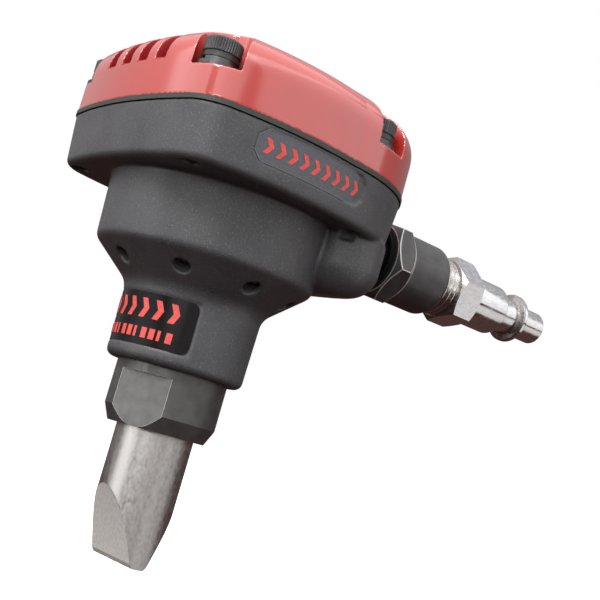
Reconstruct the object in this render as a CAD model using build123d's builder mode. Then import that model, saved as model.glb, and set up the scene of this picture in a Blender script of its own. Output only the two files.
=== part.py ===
from build123d import *
import math
import os

# Air-driven palm nailer with a flat flooring bit.
# Millimetres. The origin is the centre of the bit's end face, +Z runs up the tool's axis
# to the palm cap, +X points to the air inlet, and the two sides are mirror images in Y.

# ---------------------------------------------------------------- driving dimensions
CLEARANCE = 0.05              # radial running clearance of guided parts
SEAT_GAP = 0.3                # gap between a moving part and the stop it comes to rest on
CUT_PAST = 1.0                # how far a cutting shape reaches past what it cuts
FLAT_TO_CORNER = 1 / math.cos(math.radians(30))      # of a hexagon, flat distance to corner distance

# flooring bit
BIT_R = 7.75
BIT_LENGTH = 38.3
BIT_COLLAR_R = 8.5
BIT_COLLAR_Z = 34.3
BIT_GRIND_Z = 13.9            # where the two ground faces run out of the round shank
BIT_EDGE_HALF = 1.7           # half the blade's thickness at its end
BIT_GRIND_HOLLOW = 0.35       # how far the ground faces dip below a straight line
BIT_EDGE_BREAK = 0.25

# bit retainer nut
NUT_R = 11.1
NUT_BOTTOM_Z = 25.6
NUT_CONE_Z = 28.7
NUT_CONE_R = 9.7
NUT_FLAT_APOTHEM = 9.65
NUT_FLAT_TOP_Z = 35.9
NUT_FLAT_ANGLE = 30           # direction of the two wrench flats about the axis
NUT_SEAT_Z = 34.0
NUT_SPIGOT_R = 10.1
NUT_SPIGOT_TOP_Z = 46.0
NUT_BORE_R = 8.6              # chamber above the seat for the bit's collar and spring
NUT_TOP_CHAMFER = 0.4

# body housing
NECK_BOTTOM_Z = 37.7
NECK_R_LOW = 13.75
NECK_R_HIGH = 14.05
NECK_TOP_Z = 52.5
BARREL_R_LOW = 22.15
BARREL_R_HIGH = 22.9
CONE_TOP_Z = 59.5
BARREL_FILLETS = [1.5, 4.0, 2.0]      # neck to cone, cone to barrel, barrel to flange
FLANGE_BOTTOM_Z = 72.6
BODY_TOP_Z = 83.1
NECK_BORE_R = 10.2
NECK_BORE_TOP_Z = 47.0
BUSHING_R = 8.0
BUSHING_FLANGE_R = 10.5
BUSHING_FLANGE_T = 2.0
CHAMBER_FLOOR_Z = 57.5        # floor that the cylinder sleeve stands on
CHAMBER_R = 17.5              # exhaust chamber round the foot of the sleeve
COLLAR_SEAT_Z = 65.5
RESERVOIR_R = 19.5            # air space round the sleeve
EXHAUST_HOLE_R = 1.75
EXHAUST_COUNT = 8
EXHAUST_Z = 56.1
EXHAUST_HOLE_DEPTH = 4.4      # from 1 mm outside the cone, through its wall

# plan outline shared by flange, gasket and cap
FRONT_X = -28.0
FRONT_CORNER_X = -25.1
FRONT_CORNER_Y = 25.6
SIDE_X = -7.0
SIDE_Y = 29.6
REAR_JOIN_X = 7.0
REAR_JOIN_Y = 29.0
REAR_X = 36.0
FRONT_CORNER_FILLET = 8.0
FLANGE_DRAFT = 0.8            # how much smaller the flange is at its bottom, each side
FLANGE_FILLET = 1.4

# rear lobe of the housing that carries the air inlet
LOBE_FRONT_X = 8.0            # inner end, buried in the barrel
LOBE_FRONT_Y = 6.0
LOBE_CORNER_X = 16.0
LOBE_CORNER_Y = 27.3
LOBE_BOTTOM_Z = 58.6
LOBE_BOTTOM_RISE = 5.4
LOBE_CORNER_FILLET = 8.0
LOBE_BOTTOM_FILLET = 6.0
LOBE_REAR_INSET = 0.3

# cap and gasket
GASKET_T = 0.9
GASKET_PROUD = 0.2
CAP_BOTTOM_Z = BODY_TOP_Z + GASKET_T
CAP_SKIRT_TOP_Z = 90.5
CAP_DOME_H = 10.0
CAP_DOME_POWER = 0.65         # 1 is an ellipse; less gives fuller shoulders
CAP_DOME_SECTIONS = 8
CAP_DOME_LAST_ANGLE = 80      # degrees up the dome at which its flat crown starts
CAP_CEILING_Z = 95.0
VENT_W = 3.3
VENT_PITCH = 6.1
VENT_COUNT = 4
VENT_FLOOR_Z = 91.4
FRONT_VENT_END_X = -20.7
REAR_VENT_END_X = 26.5

# cap screws, M4 socket head
FRONT_SCREW = (-21.9, 20.7, 128)      # place, and the direction its pocket opens in
REAR_SCREW = (14.8, 23.2, 68)
SCREW_SPOTS = [(x, side * y, side * turn) for x, y, turn in (FRONT_SCREW, REAR_SCREW) for side in (1, -1)]
POCKET_FLOOR_Z = 89.8
POCKET_W = 9.4
POCKET_REACH = 20.0           # from the screw out past the cap's side
SCREW_HEAD_R = 3.5
SCREW_HEAD_H = 4.0
SCREW_THREAD_R = 2.0
SCREW_LENGTH = 16.0
SCREW_HOLE_DEPTH = 12.0
SCREW_HOLE_GAP = 0.2
SCREW_SOCKET_AF = 3.0
SCREW_SOCKET_DEPTH = 2.2
SCREW_HEAD_CHAMFER = 0.35
FLAT_WASHER_T = 0.8
FLAT_WASHER_R = 4.1
LOCK_WASHER_T = 0.9
LOCK_WASHER_GAP = 0.7
LOCK_WASHER_GAP_TURN = 50     # degrees before the pocket's opening

# cylinder, piston and driver
SLEEVE_R = 15.0
SLEEVE_BORE_R = 13.0
SLEEVE_TOP_Z = 87.0
SLEEVE_COLLAR_R = 19.4
SLEEVE_COLLAR_H = 3.5
EXHAUST_PORT_Z = 62.4
EXHAUST_PORT_W = 2.2
EXHAUST_PORT_COUNT = 6
MUFFLER_H = 4.6
MUFFLER_GAP = 0.1
PISTON_R = 12.9
PISTON_BOTTOM_Z = 61.2
PISTON_H = 8.2
PISTON_DISH_R = 9.9           # ring-shaped dish in the crown
PISTON_DISH_INNER_R = 5.4
PISTON_DISH_DEPTH = 2.5
PISTON_RING_Z = 64.6
PISTON_RING_H = 1.8
PISTON_RING_R = 12.97
PISTON_RING_ROOT_R = 11.3
ROD_R = 4.8
ROD_SPIGOT_R = 3.4
ROD_CHAMFER = 0.5
ROD_SEAL_R = 7.0
FOOT_BUMPER_R = 12.9
FOOT_BUMPER_BORE_R = 5.6
SPRING_R = 6.3
SPRING_WIRE = 0.8
SPRING_TURNS = 3.5

# O-rings
RING_WIRE = 1.0
COLLAR_RING_Z = 67.3
COLLAR_RING_R = SLEEVE_COLLAR_R - 0.4
RIM_RING_Z = 85.2
RIM_RING_R = SLEEVE_R - 0.5
BIT_RING_Z = 36.4
BIT_RING_R = 8.03

# valve stack under the cap
VALVE_PLATE_R = 17.5
VALVE_PLATE_T = 3.0
VALVE_PORT_R = 5.0
VALVE_CAGE_R = 15.5
VALVE_CAGE_DEPTH = 3.4
VALVE_WINDOW_W = 4.0
VALVE_WINDOW_COUNT = 6
VALVE_DISC_R = 9.62
VALVE_DISC_T = 1.4
VALVE_DISC_FILLET = 0.3
VALVE_DISC_GAP = 0.08
VALVE_WINDOW_LINTEL = 0.8     # left above each window
BUMPER_R = 12.0
BUMPER_T = 3.5

# air inlet, all on one axis along +X
INLET_Z = 75.6
INLET_BOSS_R = 6.2
INLET_BOSS_X = 37.6
INLET_BOSS_ROOT_X = 30.0      # where the boss starts, inside the rear lobe
INLET_THREAD_R = 5.1
INLET_THREAD_X = 24.5
PASSAGE_R = 3.5
PASSAGE_START_X = 17.5        # inside the air space round the sleeve
STEM_COLLAR_R = 6.0
STEM_COLLAR_X = 40.2
STEM_JOURNAL_R = 5.2
STEM_BORE_R = 2.8
STEM_END_X = 50.0
STEM_RING_X = (43.6, 46.0)
STEM_RING_R = 4.72
SNAP_RING_X = 48.4
SNAP_RING_T = 0.8
SNAP_RING_R = 5.75
SNAP_RING_INNER_R = 4.6
SNAP_RING_GAP = 1.5
SCREEN_T = 1.2
SCREEN_R = 5.0
SCREEN_HOLE_R = 0.5
SCREEN_HOLE_APOTHEM = 0.8     # half the pitch of the holes
SCREEN_HOLES = 5              # along each side of the pattern
WASHER_T = 1.0
WASHER_R = 7.2
BARREL_HEX_X = 41.5
BARREL_HEX_AF = 17.0
BARREL_HEX_END_X = 47.0
BARREL_ROUND_R = 8.2
BARREL_END_X = 59.0
BARREL_HEX_TURN = 12          # degrees
BARREL_HEX_FACE_R = 8.1       # flat ring left on the inner end face
BARREL_HEX_INNER_CONE = 1.2   # lengths of the turned cones
BARREL_HEX_OUTER_CONE = 1.6
BARREL_JOURNAL_R = 5.27
BARREL_RECESS_R = 6.1         # round the snap ring
BARREL_RECESS_END_X = 50.6
BARREL_THREAD_R = 6.5
BARREL_END_FILLET = 1.2
PLUG_INNER_X = 50.8
PLUG_THREAD_R = 6.85
PLUG_THREAD_ROOT_R = 6.1
PLUG_THREAD_PITCH = 1.41
PLUG_THREAD_CREST = (0.45, 0.60)      # shares of the pitch between which a crest is flat
PLUG_THREAD_CHAMFER = 0.4
PLUG_HEX_X = 63.8
PLUG_HEX_AF = 14.3
PLUG_HEX_TURN = 46            # degrees
PLUG_HEX_END_X = 71.0
PLUG_HEX_FACE_R = 6.95        # flat ring left on each end face
PLUG_HEX_CONE = 0.9
PLUG_BODY_R = 5.95
PLUG_GROOVE_X = 82.0
PLUG_GROOVE_CONE = 0.4
PLUG_GROOVE_R = 4.3
PLUG_RIDGE_X = 88.0
PLUG_RIDGE_END_X = 90.6
PLUG_RIDGE_FRONT = (0.8, 0.25, 0.3)      # lead-in length, step in radius, blend length
PLUG_RIDGE_REAR = 1.4
PLUG_TIP_CHAMFER = 0.5
PLUG_TIP_R = 3.95
PLUG_END_X = 98.2
PLUG_BORE_R = 2.6

# markings
PLATE_T = 0.4
PLATE_FRONT_X = -14.6
PLATE_REAR_X = 12.0
PLATE_BOTTOM_Z = 76.1
PLATE_TOP_Z = 82.3
PLATE_CORNER = 1.7
LABEL_T = 0.3
LABEL_SINK = 0.1              # of the label's face below the neck's surface
LABEL_BOTTOM_Z = 40.6
LABEL_TOP_Z = 50.6
LABEL_HALF_ANGLE = 66         # degrees either side of the front
LABEL_MARGIN_ANGLE = 1.2      # strip of bare recess round the label
LABEL_MARGIN = 0.3


def neck_radius(z):
    """Radius of the drafted neck at a height."""
    share = (z - NECK_BOTTOM_Z) / (NECK_TOP_Z - NECK_BOTTOM_Z)
    return NECK_R_LOW + share * (NECK_R_HIGH - NECK_R_LOW)


os.makedirs("parts", exist_ok=True)

# ---------------------------------------------------------------- plan outline of the head
with BuildSketch() as head_plan:
    with BuildLine():
        front_right = (FRONT_CORNER_X, -FRONT_CORNER_Y)
        front_left = (FRONT_CORNER_X, FRONT_CORNER_Y)
        rear_right = (REAR_JOIN_X, -REAR_JOIN_Y)
        rear_left = (REAR_JOIN_X, REAR_JOIN_Y)
        ThreePointArc(front_left, (FRONT_X, 0), front_right)
        ThreePointArc(front_right, (SIDE_X, -SIDE_Y), rear_right)
        ThreePointArc(rear_right, (REAR_X, 0), rear_left)
        ThreePointArc(rear_left, (SIDE_X, SIDE_Y), front_left)
    make_face()
    fillet(head_plan.vertices().group_by(Axis.X)[0], FRONT_CORNER_FILLET)

# ---------------------------------------------------------------- side nameplate
# A thin eight-sided plate that follows the curve of the flange's right side.
with BuildPart() as side_nameplate:
    for depth, mode in [(0, Mode.ADD), (PLATE_T, Mode.SUBTRACT)]:
        for z, draft in [(FLANGE_BOTTOM_Z, FLANGE_DRAFT), (BODY_TOP_Z, 0)]:
            with BuildSketch(Plane.XY.offset(z)):
                add(head_plan.sketch)
                scale(by=1 - (depth + draft) / SIDE_Y)
        loft(mode=mode)
    with BuildSketch(Plane.XZ.offset(SIDE_Y / 2)) as plate_face:
        with Locations(((PLATE_FRONT_X + PLATE_REAR_X) / 2, (PLATE_BOTTOM_Z + PLATE_TOP_Z) / 2)):
            Rectangle(PLATE_REAR_X - PLATE_FRONT_X, PLATE_TOP_Z - PLATE_BOTTOM_Z)
        chamfer(plate_face.vertices(), PLATE_CORNER)
    extrude(amount=SIDE_Y, mode=Mode.INTERSECT)
side_nameplate.part.label = "side_nameplate"
export_step(side_nameplate.part, "parts/side_nameplate.step")

# ---------------------------------------------------------------- body housing
# The rear lobe is a drafted bulb under the flange: its plan follows the rear of the outline
# and its underside rises towards the back.
with BuildPart() as rear_lobe:
    with BuildSketch(Plane.XY.offset(LOBE_BOTTOM_Z)) as lobe_plan:
        with BuildLine():
            lobe_rear = (REAR_X - LOBE_REAR_INSET, 0)
            ThreePointArc((LOBE_CORNER_X, -LOBE_CORNER_Y), lobe_rear, (LOBE_CORNER_X, LOBE_CORNER_Y))
            Line((LOBE_CORNER_X, LOBE_CORNER_Y), (LOBE_FRONT_X, LOBE_FRONT_Y))
            Line((LOBE_FRONT_X, LOBE_FRONT_Y), (LOBE_FRONT_X, -LOBE_FRONT_Y))
            Line((LOBE_FRONT_X, -LOBE_FRONT_Y), (LOBE_CORNER_X, -LOBE_CORNER_Y))
        make_face()
        lobe_corners = lobe_plan.vertices().filter_by(lambda v: abs(v.Y) > LOBE_FRONT_Y + CUT_PAST)
        fillet(lobe_corners, LOBE_CORNER_FILLET)
    extrude(amount=FLANGE_BOTTOM_Z + CUT_PAST - LOBE_BOTTOM_Z)
    with BuildSketch(Plane.XZ):
        with BuildLine():
            Polyline(
                (LOBE_FRONT_X - CUT_PAST, LOBE_BOTTOM_Z),
                (REAR_X + CUT_PAST, LOBE_BOTTOM_Z + LOBE_BOTTOM_RISE),
                (REAR_X + CUT_PAST, BODY_TOP_Z),
                (LOBE_FRONT_X - CUT_PAST, BODY_TOP_Z),
                close=True,
            )
        make_face()
    extrude(amount=2 * SIDE_Y, both=True, mode=Mode.INTERSECT)
    fillet(rear_lobe.faces().sort_by(Axis.Z)[0].edges(), LOBE_BOTTOM_FILLET)

with BuildPart() as body_housing:
    for z, draft in [(FLANGE_BOTTOM_Z, FLANGE_DRAFT), (BODY_TOP_Z, 0)]:
        with BuildSketch(Plane.XY.offset(z)):
            add(head_plan.sketch)
            scale(by=1 - draft / SIDE_Y)
    loft()
    fillet(body_housing.faces().sort_by(Axis.Z)[0].edges(), FLANGE_FILLET)
    with BuildSketch(Plane.XZ):
        with BuildLine():
            FilletPolyline(
                (0, NECK_BOTTOM_Z),
                (NECK_R_LOW, NECK_BOTTOM_Z),
                (NECK_R_HIGH, NECK_TOP_Z),
                (BARREL_R_LOW, CONE_TOP_Z),
                (BARREL_R_HIGH, FLANGE_BOTTOM_Z + CUT_PAST),
                radius=BARREL_FILLETS,
            )
            Line((BARREL_R_HIGH, FLANGE_BOTTOM_Z + CUT_PAST), (0, FLANGE_BOTTOM_Z + CUT_PAST))
            Line((0, FLANGE_BOTTOM_Z + CUT_PAST), (0, NECK_BOTTOM_Z))
        make_face()
    revolve(axis=Axis.Z)
    add(rear_lobe.part)
    # spot-faced boss for the inlet stem
    with BuildSketch(Plane.YZ.offset(INLET_BOSS_ROOT_X)):
        with Locations((0, INLET_Z)):
            Circle(INLET_BOSS_R)
    extrude(amount=INLET_BOSS_X - INLET_BOSS_ROOT_X)
    # stepped bore from neck to head
    with BuildSketch(Plane.XZ):
        with BuildLine():
            Polyline(
                (0, NECK_BOTTOM_Z - CUT_PAST),
                (NECK_BORE_R, NECK_BOTTOM_Z - CUT_PAST),
                (NECK_BORE_R, NECK_BORE_TOP_Z),
                (BUSHING_R, NECK_BORE_TOP_Z),
                (BUSHING_R, CHAMBER_FLOOR_Z - BUSHING_FLANGE_T),
                (BUSHING_FLANGE_R, CHAMBER_FLOOR_Z - BUSHING_FLANGE_T),
                (BUSHING_FLANGE_R, CHAMBER_FLOOR_Z),
                (CHAMBER_R, CHAMBER_FLOOR_Z),
                (CHAMBER_R, COLLAR_SEAT_Z),
                (RESERVOIR_R, COLLAR_SEAT_Z),
                (RESERVOIR_R, BODY_TOP_Z + CUT_PAST),
                (0, BODY_TOP_Z + CUT_PAST),
                close=True,
            )
        make_face()
    revolve(axis=Axis.Z, mode=Mode.SUBTRACT)
    # inlet: tapped bore for the stem, then a narrow passage into the reservoir
    with BuildSketch(Plane.YZ.offset(INLET_THREAD_X)):
        with Locations((0, INLET_Z)):
            Circle(INLET_THREAD_R)
    extrude(amount=REAR_X, mode=Mode.SUBTRACT)
    with BuildSketch(Plane.YZ.offset(PASSAGE_START_X)):
        with Locations((0, INLET_Z)):
            Circle(PASSAGE_R)
    extrude(amount=INLET_THREAD_X - PASSAGE_START_X + CUT_PAST, mode=Mode.SUBTRACT)
    # tapped holes for the cap screws: through the front of the flange, blind in the lobe
    for x, y, _ in SCREW_SPOTS:
        with BuildSketch(Plane.XY.offset(BODY_TOP_Z)):
            with Locations((x, y)):
                Circle(SCREW_THREAD_R + CLEARANCE)
        extrude(amount=-SCREW_HOLE_DEPTH, mode=Mode.SUBTRACT)
    # exhaust holes, square to the cone
    cone_run = BARREL_R_LOW - NECK_R_HIGH
    cone_rise = CONE_TOP_Z - NECK_TOP_Z
    exhaust_r = NECK_R_HIGH + (EXHAUST_Z - NECK_TOP_Z) * cone_run / cone_rise
    for index in range(EXHAUST_COUNT):
        turn = math.radians(index * 360 / EXHAUST_COUNT)
        outward = Vector(math.cos(turn) * cone_rise, math.sin(turn) * cone_rise, -cone_run)
        mouth = Vector(exhaust_r * math.cos(turn), exhaust_r * math.sin(turn), EXHAUST_Z)
        with BuildSketch(Plane(origin=mouth + outward.normalized(), z_dir=outward)):
            Circle(EXHAUST_HOLE_R)
        extrude(amount=-EXHAUST_HOLE_DEPTH, mode=Mode.SUBTRACT)
    # shallow recess for the neck label
    recess_low = LABEL_BOTTOM_Z - LABEL_MARGIN
    recess_high = LABEL_TOP_Z + LABEL_MARGIN
    with BuildSketch(Plane.XZ.rotated((0, 0, 180 - LABEL_HALF_ANGLE))):
        with BuildLine():
            Polyline(
                (neck_radius(recess_low) - LABEL_T, recess_low),
                (neck_radius(recess_high) - LABEL_T, recess_high),
                (neck_radius(recess_high) + CUT_PAST, recess_high),
                (neck_radius(recess_low) + CUT_PAST, recess_low),
                close=True,
            )
        make_face()
    revolve(axis=Axis.Z, revolution_arc=2 * LABEL_HALF_ANGLE, mode=Mode.SUBTRACT)
    # seat of the side nameplate
    add(side_nameplate.part, mode=Mode.SUBTRACT)
body_housing.part.label = "body_housing"
export_step(body_housing.part, "parts/body_housing.step")

# ---------------------------------------------------------------- cap gasket
with BuildPart() as cap_gasket:
    with BuildSketch(Plane.XY.offset(BODY_TOP_Z)):
        add(head_plan.sketch)
        scale(by=1 + GASKET_PROUD / SIDE_Y)
        Circle(RESERVOIR_R, mode=Mode.SUBTRACT)
        for x, y, _ in SCREW_SPOTS:
            with Locations((x, y)):
                Circle(SCREW_THREAD_R + SCREW_HOLE_GAP, mode=Mode.SUBTRACT)
    extrude(amount=GASKET_T)
cap_gasket.part.label = "cap_gasket"
export_step(cap_gasket.part, "parts/cap_gasket.step")

# ---------------------------------------------------------------- top cap
# A straight skirt with the head's outline, then an elliptical dome that keeps that outline
# while it shrinks towards the axis.
with BuildPart() as top_cap:
    for index in range(CAP_DOME_SECTIONS + 1):
        angle = math.radians(CAP_DOME_LAST_ANGLE * index / CAP_DOME_SECTIONS)
        rise = math.sin(angle) ** CAP_DOME_POWER
        shrink = math.cos(angle) ** CAP_DOME_POWER
        with BuildSketch(Plane.XY.offset(CAP_SKIRT_TOP_Z + CAP_DOME_H * rise)):
            add(head_plan.sketch)
            scale(by=shrink)
    loft()
    with BuildSketch(Plane.XY.offset(CAP_BOTTOM_Z)):
        add(head_plan.sketch)
    extrude(amount=CAP_SKIRT_TOP_Z - CAP_BOTTOM_Z)
    # hollow for the reservoir and valve, with a recess for the bumper above it
    with BuildSketch(Plane.XY.offset(CAP_BOTTOM_Z)):
        Circle(RESERVOIR_R)
    extrude(amount=CAP_CEILING_Z - CAP_BOTTOM_Z, mode=Mode.SUBTRACT)
    with BuildSketch(Plane.XY.offset(CAP_CEILING_Z)):
        Circle(BUMPER_R + 2 * CLEARANCE)
    extrude(amount=BUMPER_T, mode=Mode.SUBTRACT)
    # four screw pockets, open towards the nearest corner, with clearance holes below
    for x, y, opening in SCREW_SPOTS:
        with BuildSketch(Plane.XY.offset(POCKET_FLOOR_Z)):
            with Locations(Location((x, y, 0), (0, 0, opening))):
                Circle(POCKET_W / 2)
                Rectangle(POCKET_REACH, POCKET_W, align=(Align.MIN, Align.CENTER))
        extrude(amount=CAP_DOME_H + CUT_PAST, mode=Mode.SUBTRACT)
        with BuildSketch(Plane.XY.offset(CAP_BOTTOM_Z)):
            with Locations((x, y)):
                Circle(SCREW_THREAD_R + SCREW_HOLE_GAP)
        extrude(amount=POCKET_FLOOR_Z - CAP_BOTTOM_Z, mode=Mode.SUBTRACT)
    # blind cooling slots across the front and rear shoulders
    vent_span = (VENT_COUNT - 1) * VENT_PITCH
    for end_x, outer_x in [(FRONT_VENT_END_X, FRONT_X - CUT_PAST), (REAR_VENT_END_X, REAR_X + CUT_PAST)]:
        with BuildSketch(Plane.XY.offset(VENT_FLOOR_Z)):
            for index in range(VENT_COUNT):
                with Locations(((end_x + outer_x) / 2, index * VENT_PITCH - vent_span / 2)):
                    Rectangle(abs(outer_x - end_x), VENT_W)
        extrude(amount=CAP_DOME_H, mode=Mode.SUBTRACT)
top_cap.part.label = "top_cap"
export_step(top_cap.part, "parts/top_cap.step")

# ---------------------------------------------------------------- cap fasteners
SCREW_HEAD_Z = POCKET_FLOOR_Z + FLAT_WASHER_T + LOCK_WASHER_T
with BuildPart() as cap_screws:
    for x, y, _ in SCREW_SPOTS:
        with BuildSketch(Plane.XY.offset(SCREW_HEAD_Z)):
            with Locations((x, y)):
                Circle(SCREW_HEAD_R)
        extrude(amount=SCREW_HEAD_H)
        with BuildSketch(Plane.XY.offset(SCREW_HEAD_Z - SCREW_LENGTH)):
            with Locations((x, y)):
                Circle(SCREW_THREAD_R)
        extrude(amount=SCREW_LENGTH)
    chamfer(cap_screws.faces().group_by(Axis.Z)[-1].edges(), SCREW_HEAD_CHAMFER)
    for x, y, opening in SCREW_SPOTS:
        with BuildSketch(Plane.XY.offset(SCREW_HEAD_Z + SCREW_HEAD_H)):
            with Locations(Location((x, y, 0), (0, 0, opening))):
                RegularPolygon(SCREW_SOCKET_AF / 2, 6, major_radius=False)
        extrude(amount=-SCREW_SOCKET_DEPTH, mode=Mode.SUBTRACT)
cap_screws.part.label = "cap_screws"
export_step(cap_screws.part, "parts/cap_screws.step")

with BuildPart() as cap_flat_washers:
    for x, y, _ in SCREW_SPOTS:
        with BuildSketch(Plane.XY.offset(POCKET_FLOOR_Z)):
            with Locations((x, y)):
                Circle(FLAT_WASHER_R)
                Circle(SCREW_THREAD_R + SCREW_HOLE_GAP, mode=Mode.SUBTRACT)
        extrude(amount=FLAT_WASHER_T)
cap_flat_washers.part.label = "cap_flat_washers"
export_step(cap_flat_washers.part, "parts/cap_flat_washers.step")

with BuildPart() as cap_lock_washers:
    for x, y, opening in SCREW_SPOTS:
        with BuildSketch(Plane.XY.offset(POCKET_FLOOR_Z + FLAT_WASHER_T)):
            with Locations(Location((x, y, 0), (0, 0, opening - LOCK_WASHER_GAP_TURN))):
                Circle(SCREW_HEAD_R)
                Circle(SCREW_THREAD_R + SCREW_HOLE_GAP, mode=Mode.SUBTRACT)
                Rectangle(
                    SCREW_HEAD_R + CUT_PAST,
                    LOCK_WASHER_GAP,
                    align=(Align.MIN, Align.CENTER),
                    mode=Mode.SUBTRACT,
                )
        extrude(amount=LOCK_WASHER_T)
cap_lock_washers.part.label = "cap_lock_washers"
export_step(cap_lock_washers.part, "parts/cap_lock_washers.step")

# ---------------------------------------------------------------- cylinder sleeve and seals
with BuildPart() as cylinder_sleeve:
    with BuildSketch(Plane.XY.offset(CHAMBER_FLOOR_Z)):
        Circle(SLEEVE_R)
    extrude(amount=SLEEVE_TOP_Z - CHAMBER_FLOOR_Z)
    with BuildSketch(Plane.XY.offset(COLLAR_SEAT_Z)):
        Circle(SLEEVE_COLLAR_R)
    extrude(amount=SLEEVE_COLLAR_H)
    with BuildSketch(Plane.XY.offset(CHAMBER_FLOOR_Z)):
        Circle(SLEEVE_BORE_R)
    extrude(amount=SLEEVE_TOP_Z - CHAMBER_FLOOR_Z, mode=Mode.SUBTRACT)
    # O-ring grooves in the collar and under the rim
    for ring_z, ring_r in [(COLLAR_RING_Z, COLLAR_RING_R), (RIM_RING_Z, RIM_RING_R)]:
        with BuildSketch(Plane.XY.offset(ring_z - RING_WIRE)):
            Circle(ring_r + CUT_PAST)
            Circle(ring_r - RING_WIRE / 2, mode=Mode.SUBTRACT)
        extrude(amount=2 * RING_WIRE, mode=Mode.SUBTRACT)
    # exhaust ports that the piston uncovers
    with BuildSketch(Plane.XY.offset(EXHAUST_PORT_Z)) as port_rays:
        with PolarLocations(0, EXHAUST_PORT_COUNT):
            Rectangle(SLEEVE_R + CUT_PAST, EXHAUST_PORT_W, align=(Align.MIN, Align.CENTER))
    extrude(amount=EXHAUST_PORT_W, mode=Mode.SUBTRACT)
cylinder_sleeve.part.label = "cylinder_sleeve"
export_step(cylinder_sleeve.part, "parts/cylinder_sleeve.step")

with BuildPart() as sleeve_o_ring_lower:
    with Locations((0, 0, COLLAR_RING_Z)):
        Torus(COLLAR_RING_R, RING_WIRE / 2)
sleeve_o_ring_lower.part.label = "sleeve_o_ring_lower"
export_step(sleeve_o_ring_lower.part, "parts/sleeve_o_ring_lower.step")

with BuildPart() as sleeve_o_ring_upper:
    with Locations((0, 0, RIM_RING_Z)):
        Torus(RIM_RING_R, RING_WIRE / 2)
sleeve_o_ring_upper.part.label = "sleeve_o_ring_upper"
export_step(sleeve_o_ring_upper.part, "parts/sleeve_o_ring_upper.step")

# ---------------------------------------------------------------- piston and driver rod
PISTON_TOP_Z = PISTON_BOTTOM_Z + PISTON_H
with BuildPart() as piston:
    with BuildSketch(Plane.XY.offset(PISTON_BOTTOM_Z)):
        Circle(PISTON_R)
        Circle(ROD_SPIGOT_R, mode=Mode.SUBTRACT)
    extrude(amount=PISTON_H)
    with BuildSketch(Plane.XY.offset(PISTON_TOP_Z)):
        Circle(PISTON_DISH_R)
        Circle(PISTON_DISH_INNER_R, mode=Mode.SUBTRACT)
    extrude(amount=-PISTON_DISH_DEPTH, mode=Mode.SUBTRACT)
    with BuildSketch(Plane.XY.offset(PISTON_RING_Z)):
        Circle(PISTON_R + CUT_PAST)
        Circle(PISTON_RING_ROOT_R, mode=Mode.SUBTRACT)
    extrude(amount=PISTON_RING_H, mode=Mode.SUBTRACT)
piston.part.label = "piston"
export_step(piston.part, "parts/piston.step")

with BuildPart() as piston_ring:
    with BuildSketch(Plane.XY.offset(PISTON_RING_Z)):
        Circle(PISTON_RING_R)
        Circle(PISTON_RING_ROOT_R, mode=Mode.SUBTRACT)
    extrude(amount=PISTON_RING_H)
piston_ring.part.label = "piston_ring"
export_step(piston_ring.part, "parts/piston_ring.step")

with BuildPart() as driver_rod:
    with BuildSketch(Plane.XY.offset(BIT_LENGTH + SEAT_GAP)):
        Circle(ROD_R)
    extrude(amount=PISTON_BOTTOM_Z - BIT_LENGTH - SEAT_GAP)
    chamfer(driver_rod.faces().sort_by(Axis.Z)[0].edges(), ROD_CHAMFER)
    with BuildSketch(Plane.XY.offset(PISTON_BOTTOM_Z)):
        Circle(ROD_SPIGOT_R)
    extrude(amount=PISTON_H)
driver_rod.part.label = "driver_rod"
export_step(driver_rod.part, "parts/driver_rod.step")

with BuildPart() as piston_bumper:
    with BuildSketch(Plane.XY.offset(CHAMBER_FLOOR_Z)):
        Circle(FOOT_BUMPER_R)
        Circle(FOOT_BUMPER_BORE_R, mode=Mode.SUBTRACT)
    extrude(amount=PISTON_BOTTOM_Z - SEAT_GAP - CHAMBER_FLOOR_Z)
piston_bumper.part.label = "piston_bumper"
export_step(piston_bumper.part, "parts/piston_bumper.step")

with BuildPart() as driver_guide_bushing:
    with BuildSketch(Plane.XY.offset(NECK_BORE_TOP_Z)):
        Circle(BUSHING_R)
    extrude(amount=CHAMBER_FLOOR_Z - NECK_BORE_TOP_Z)
    with BuildSketch(Plane.XY.offset(CHAMBER_FLOOR_Z - BUSHING_FLANGE_T)):
        Circle(BUSHING_FLANGE_R)
    extrude(amount=BUSHING_FLANGE_T)
    with BuildSketch(Plane.XY.offset(NECK_BORE_TOP_Z)):
        Circle(ROD_R + CLEARANCE)
    extrude(amount=CHAMBER_FLOOR_Z - NECK_BORE_TOP_Z, mode=Mode.SUBTRACT)
    with BuildSketch(Plane.XY.offset(CHAMBER_FLOOR_Z)):
        Circle(ROD_SEAL_R)
    extrude(amount=-BUSHING_FLANGE_T, mode=Mode.SUBTRACT)
driver_guide_bushing.part.label = "driver_guide_bushing"
export_step(driver_guide_bushing.part, "parts/driver_guide_bushing.step")

with BuildPart() as rod_seal:
    with BuildSketch(Plane.XY.offset(CHAMBER_FLOOR_Z - BUSHING_FLANGE_T)):
        Circle(ROD_SEAL_R)
        Circle(ROD_R + CLEARANCE, mode=Mode.SUBTRACT)
    extrude(amount=BUSHING_FLANGE_T)
rod_seal.part.label = "rod_seal"
export_step(rod_seal.part, "parts/rod_seal.step")

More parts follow.
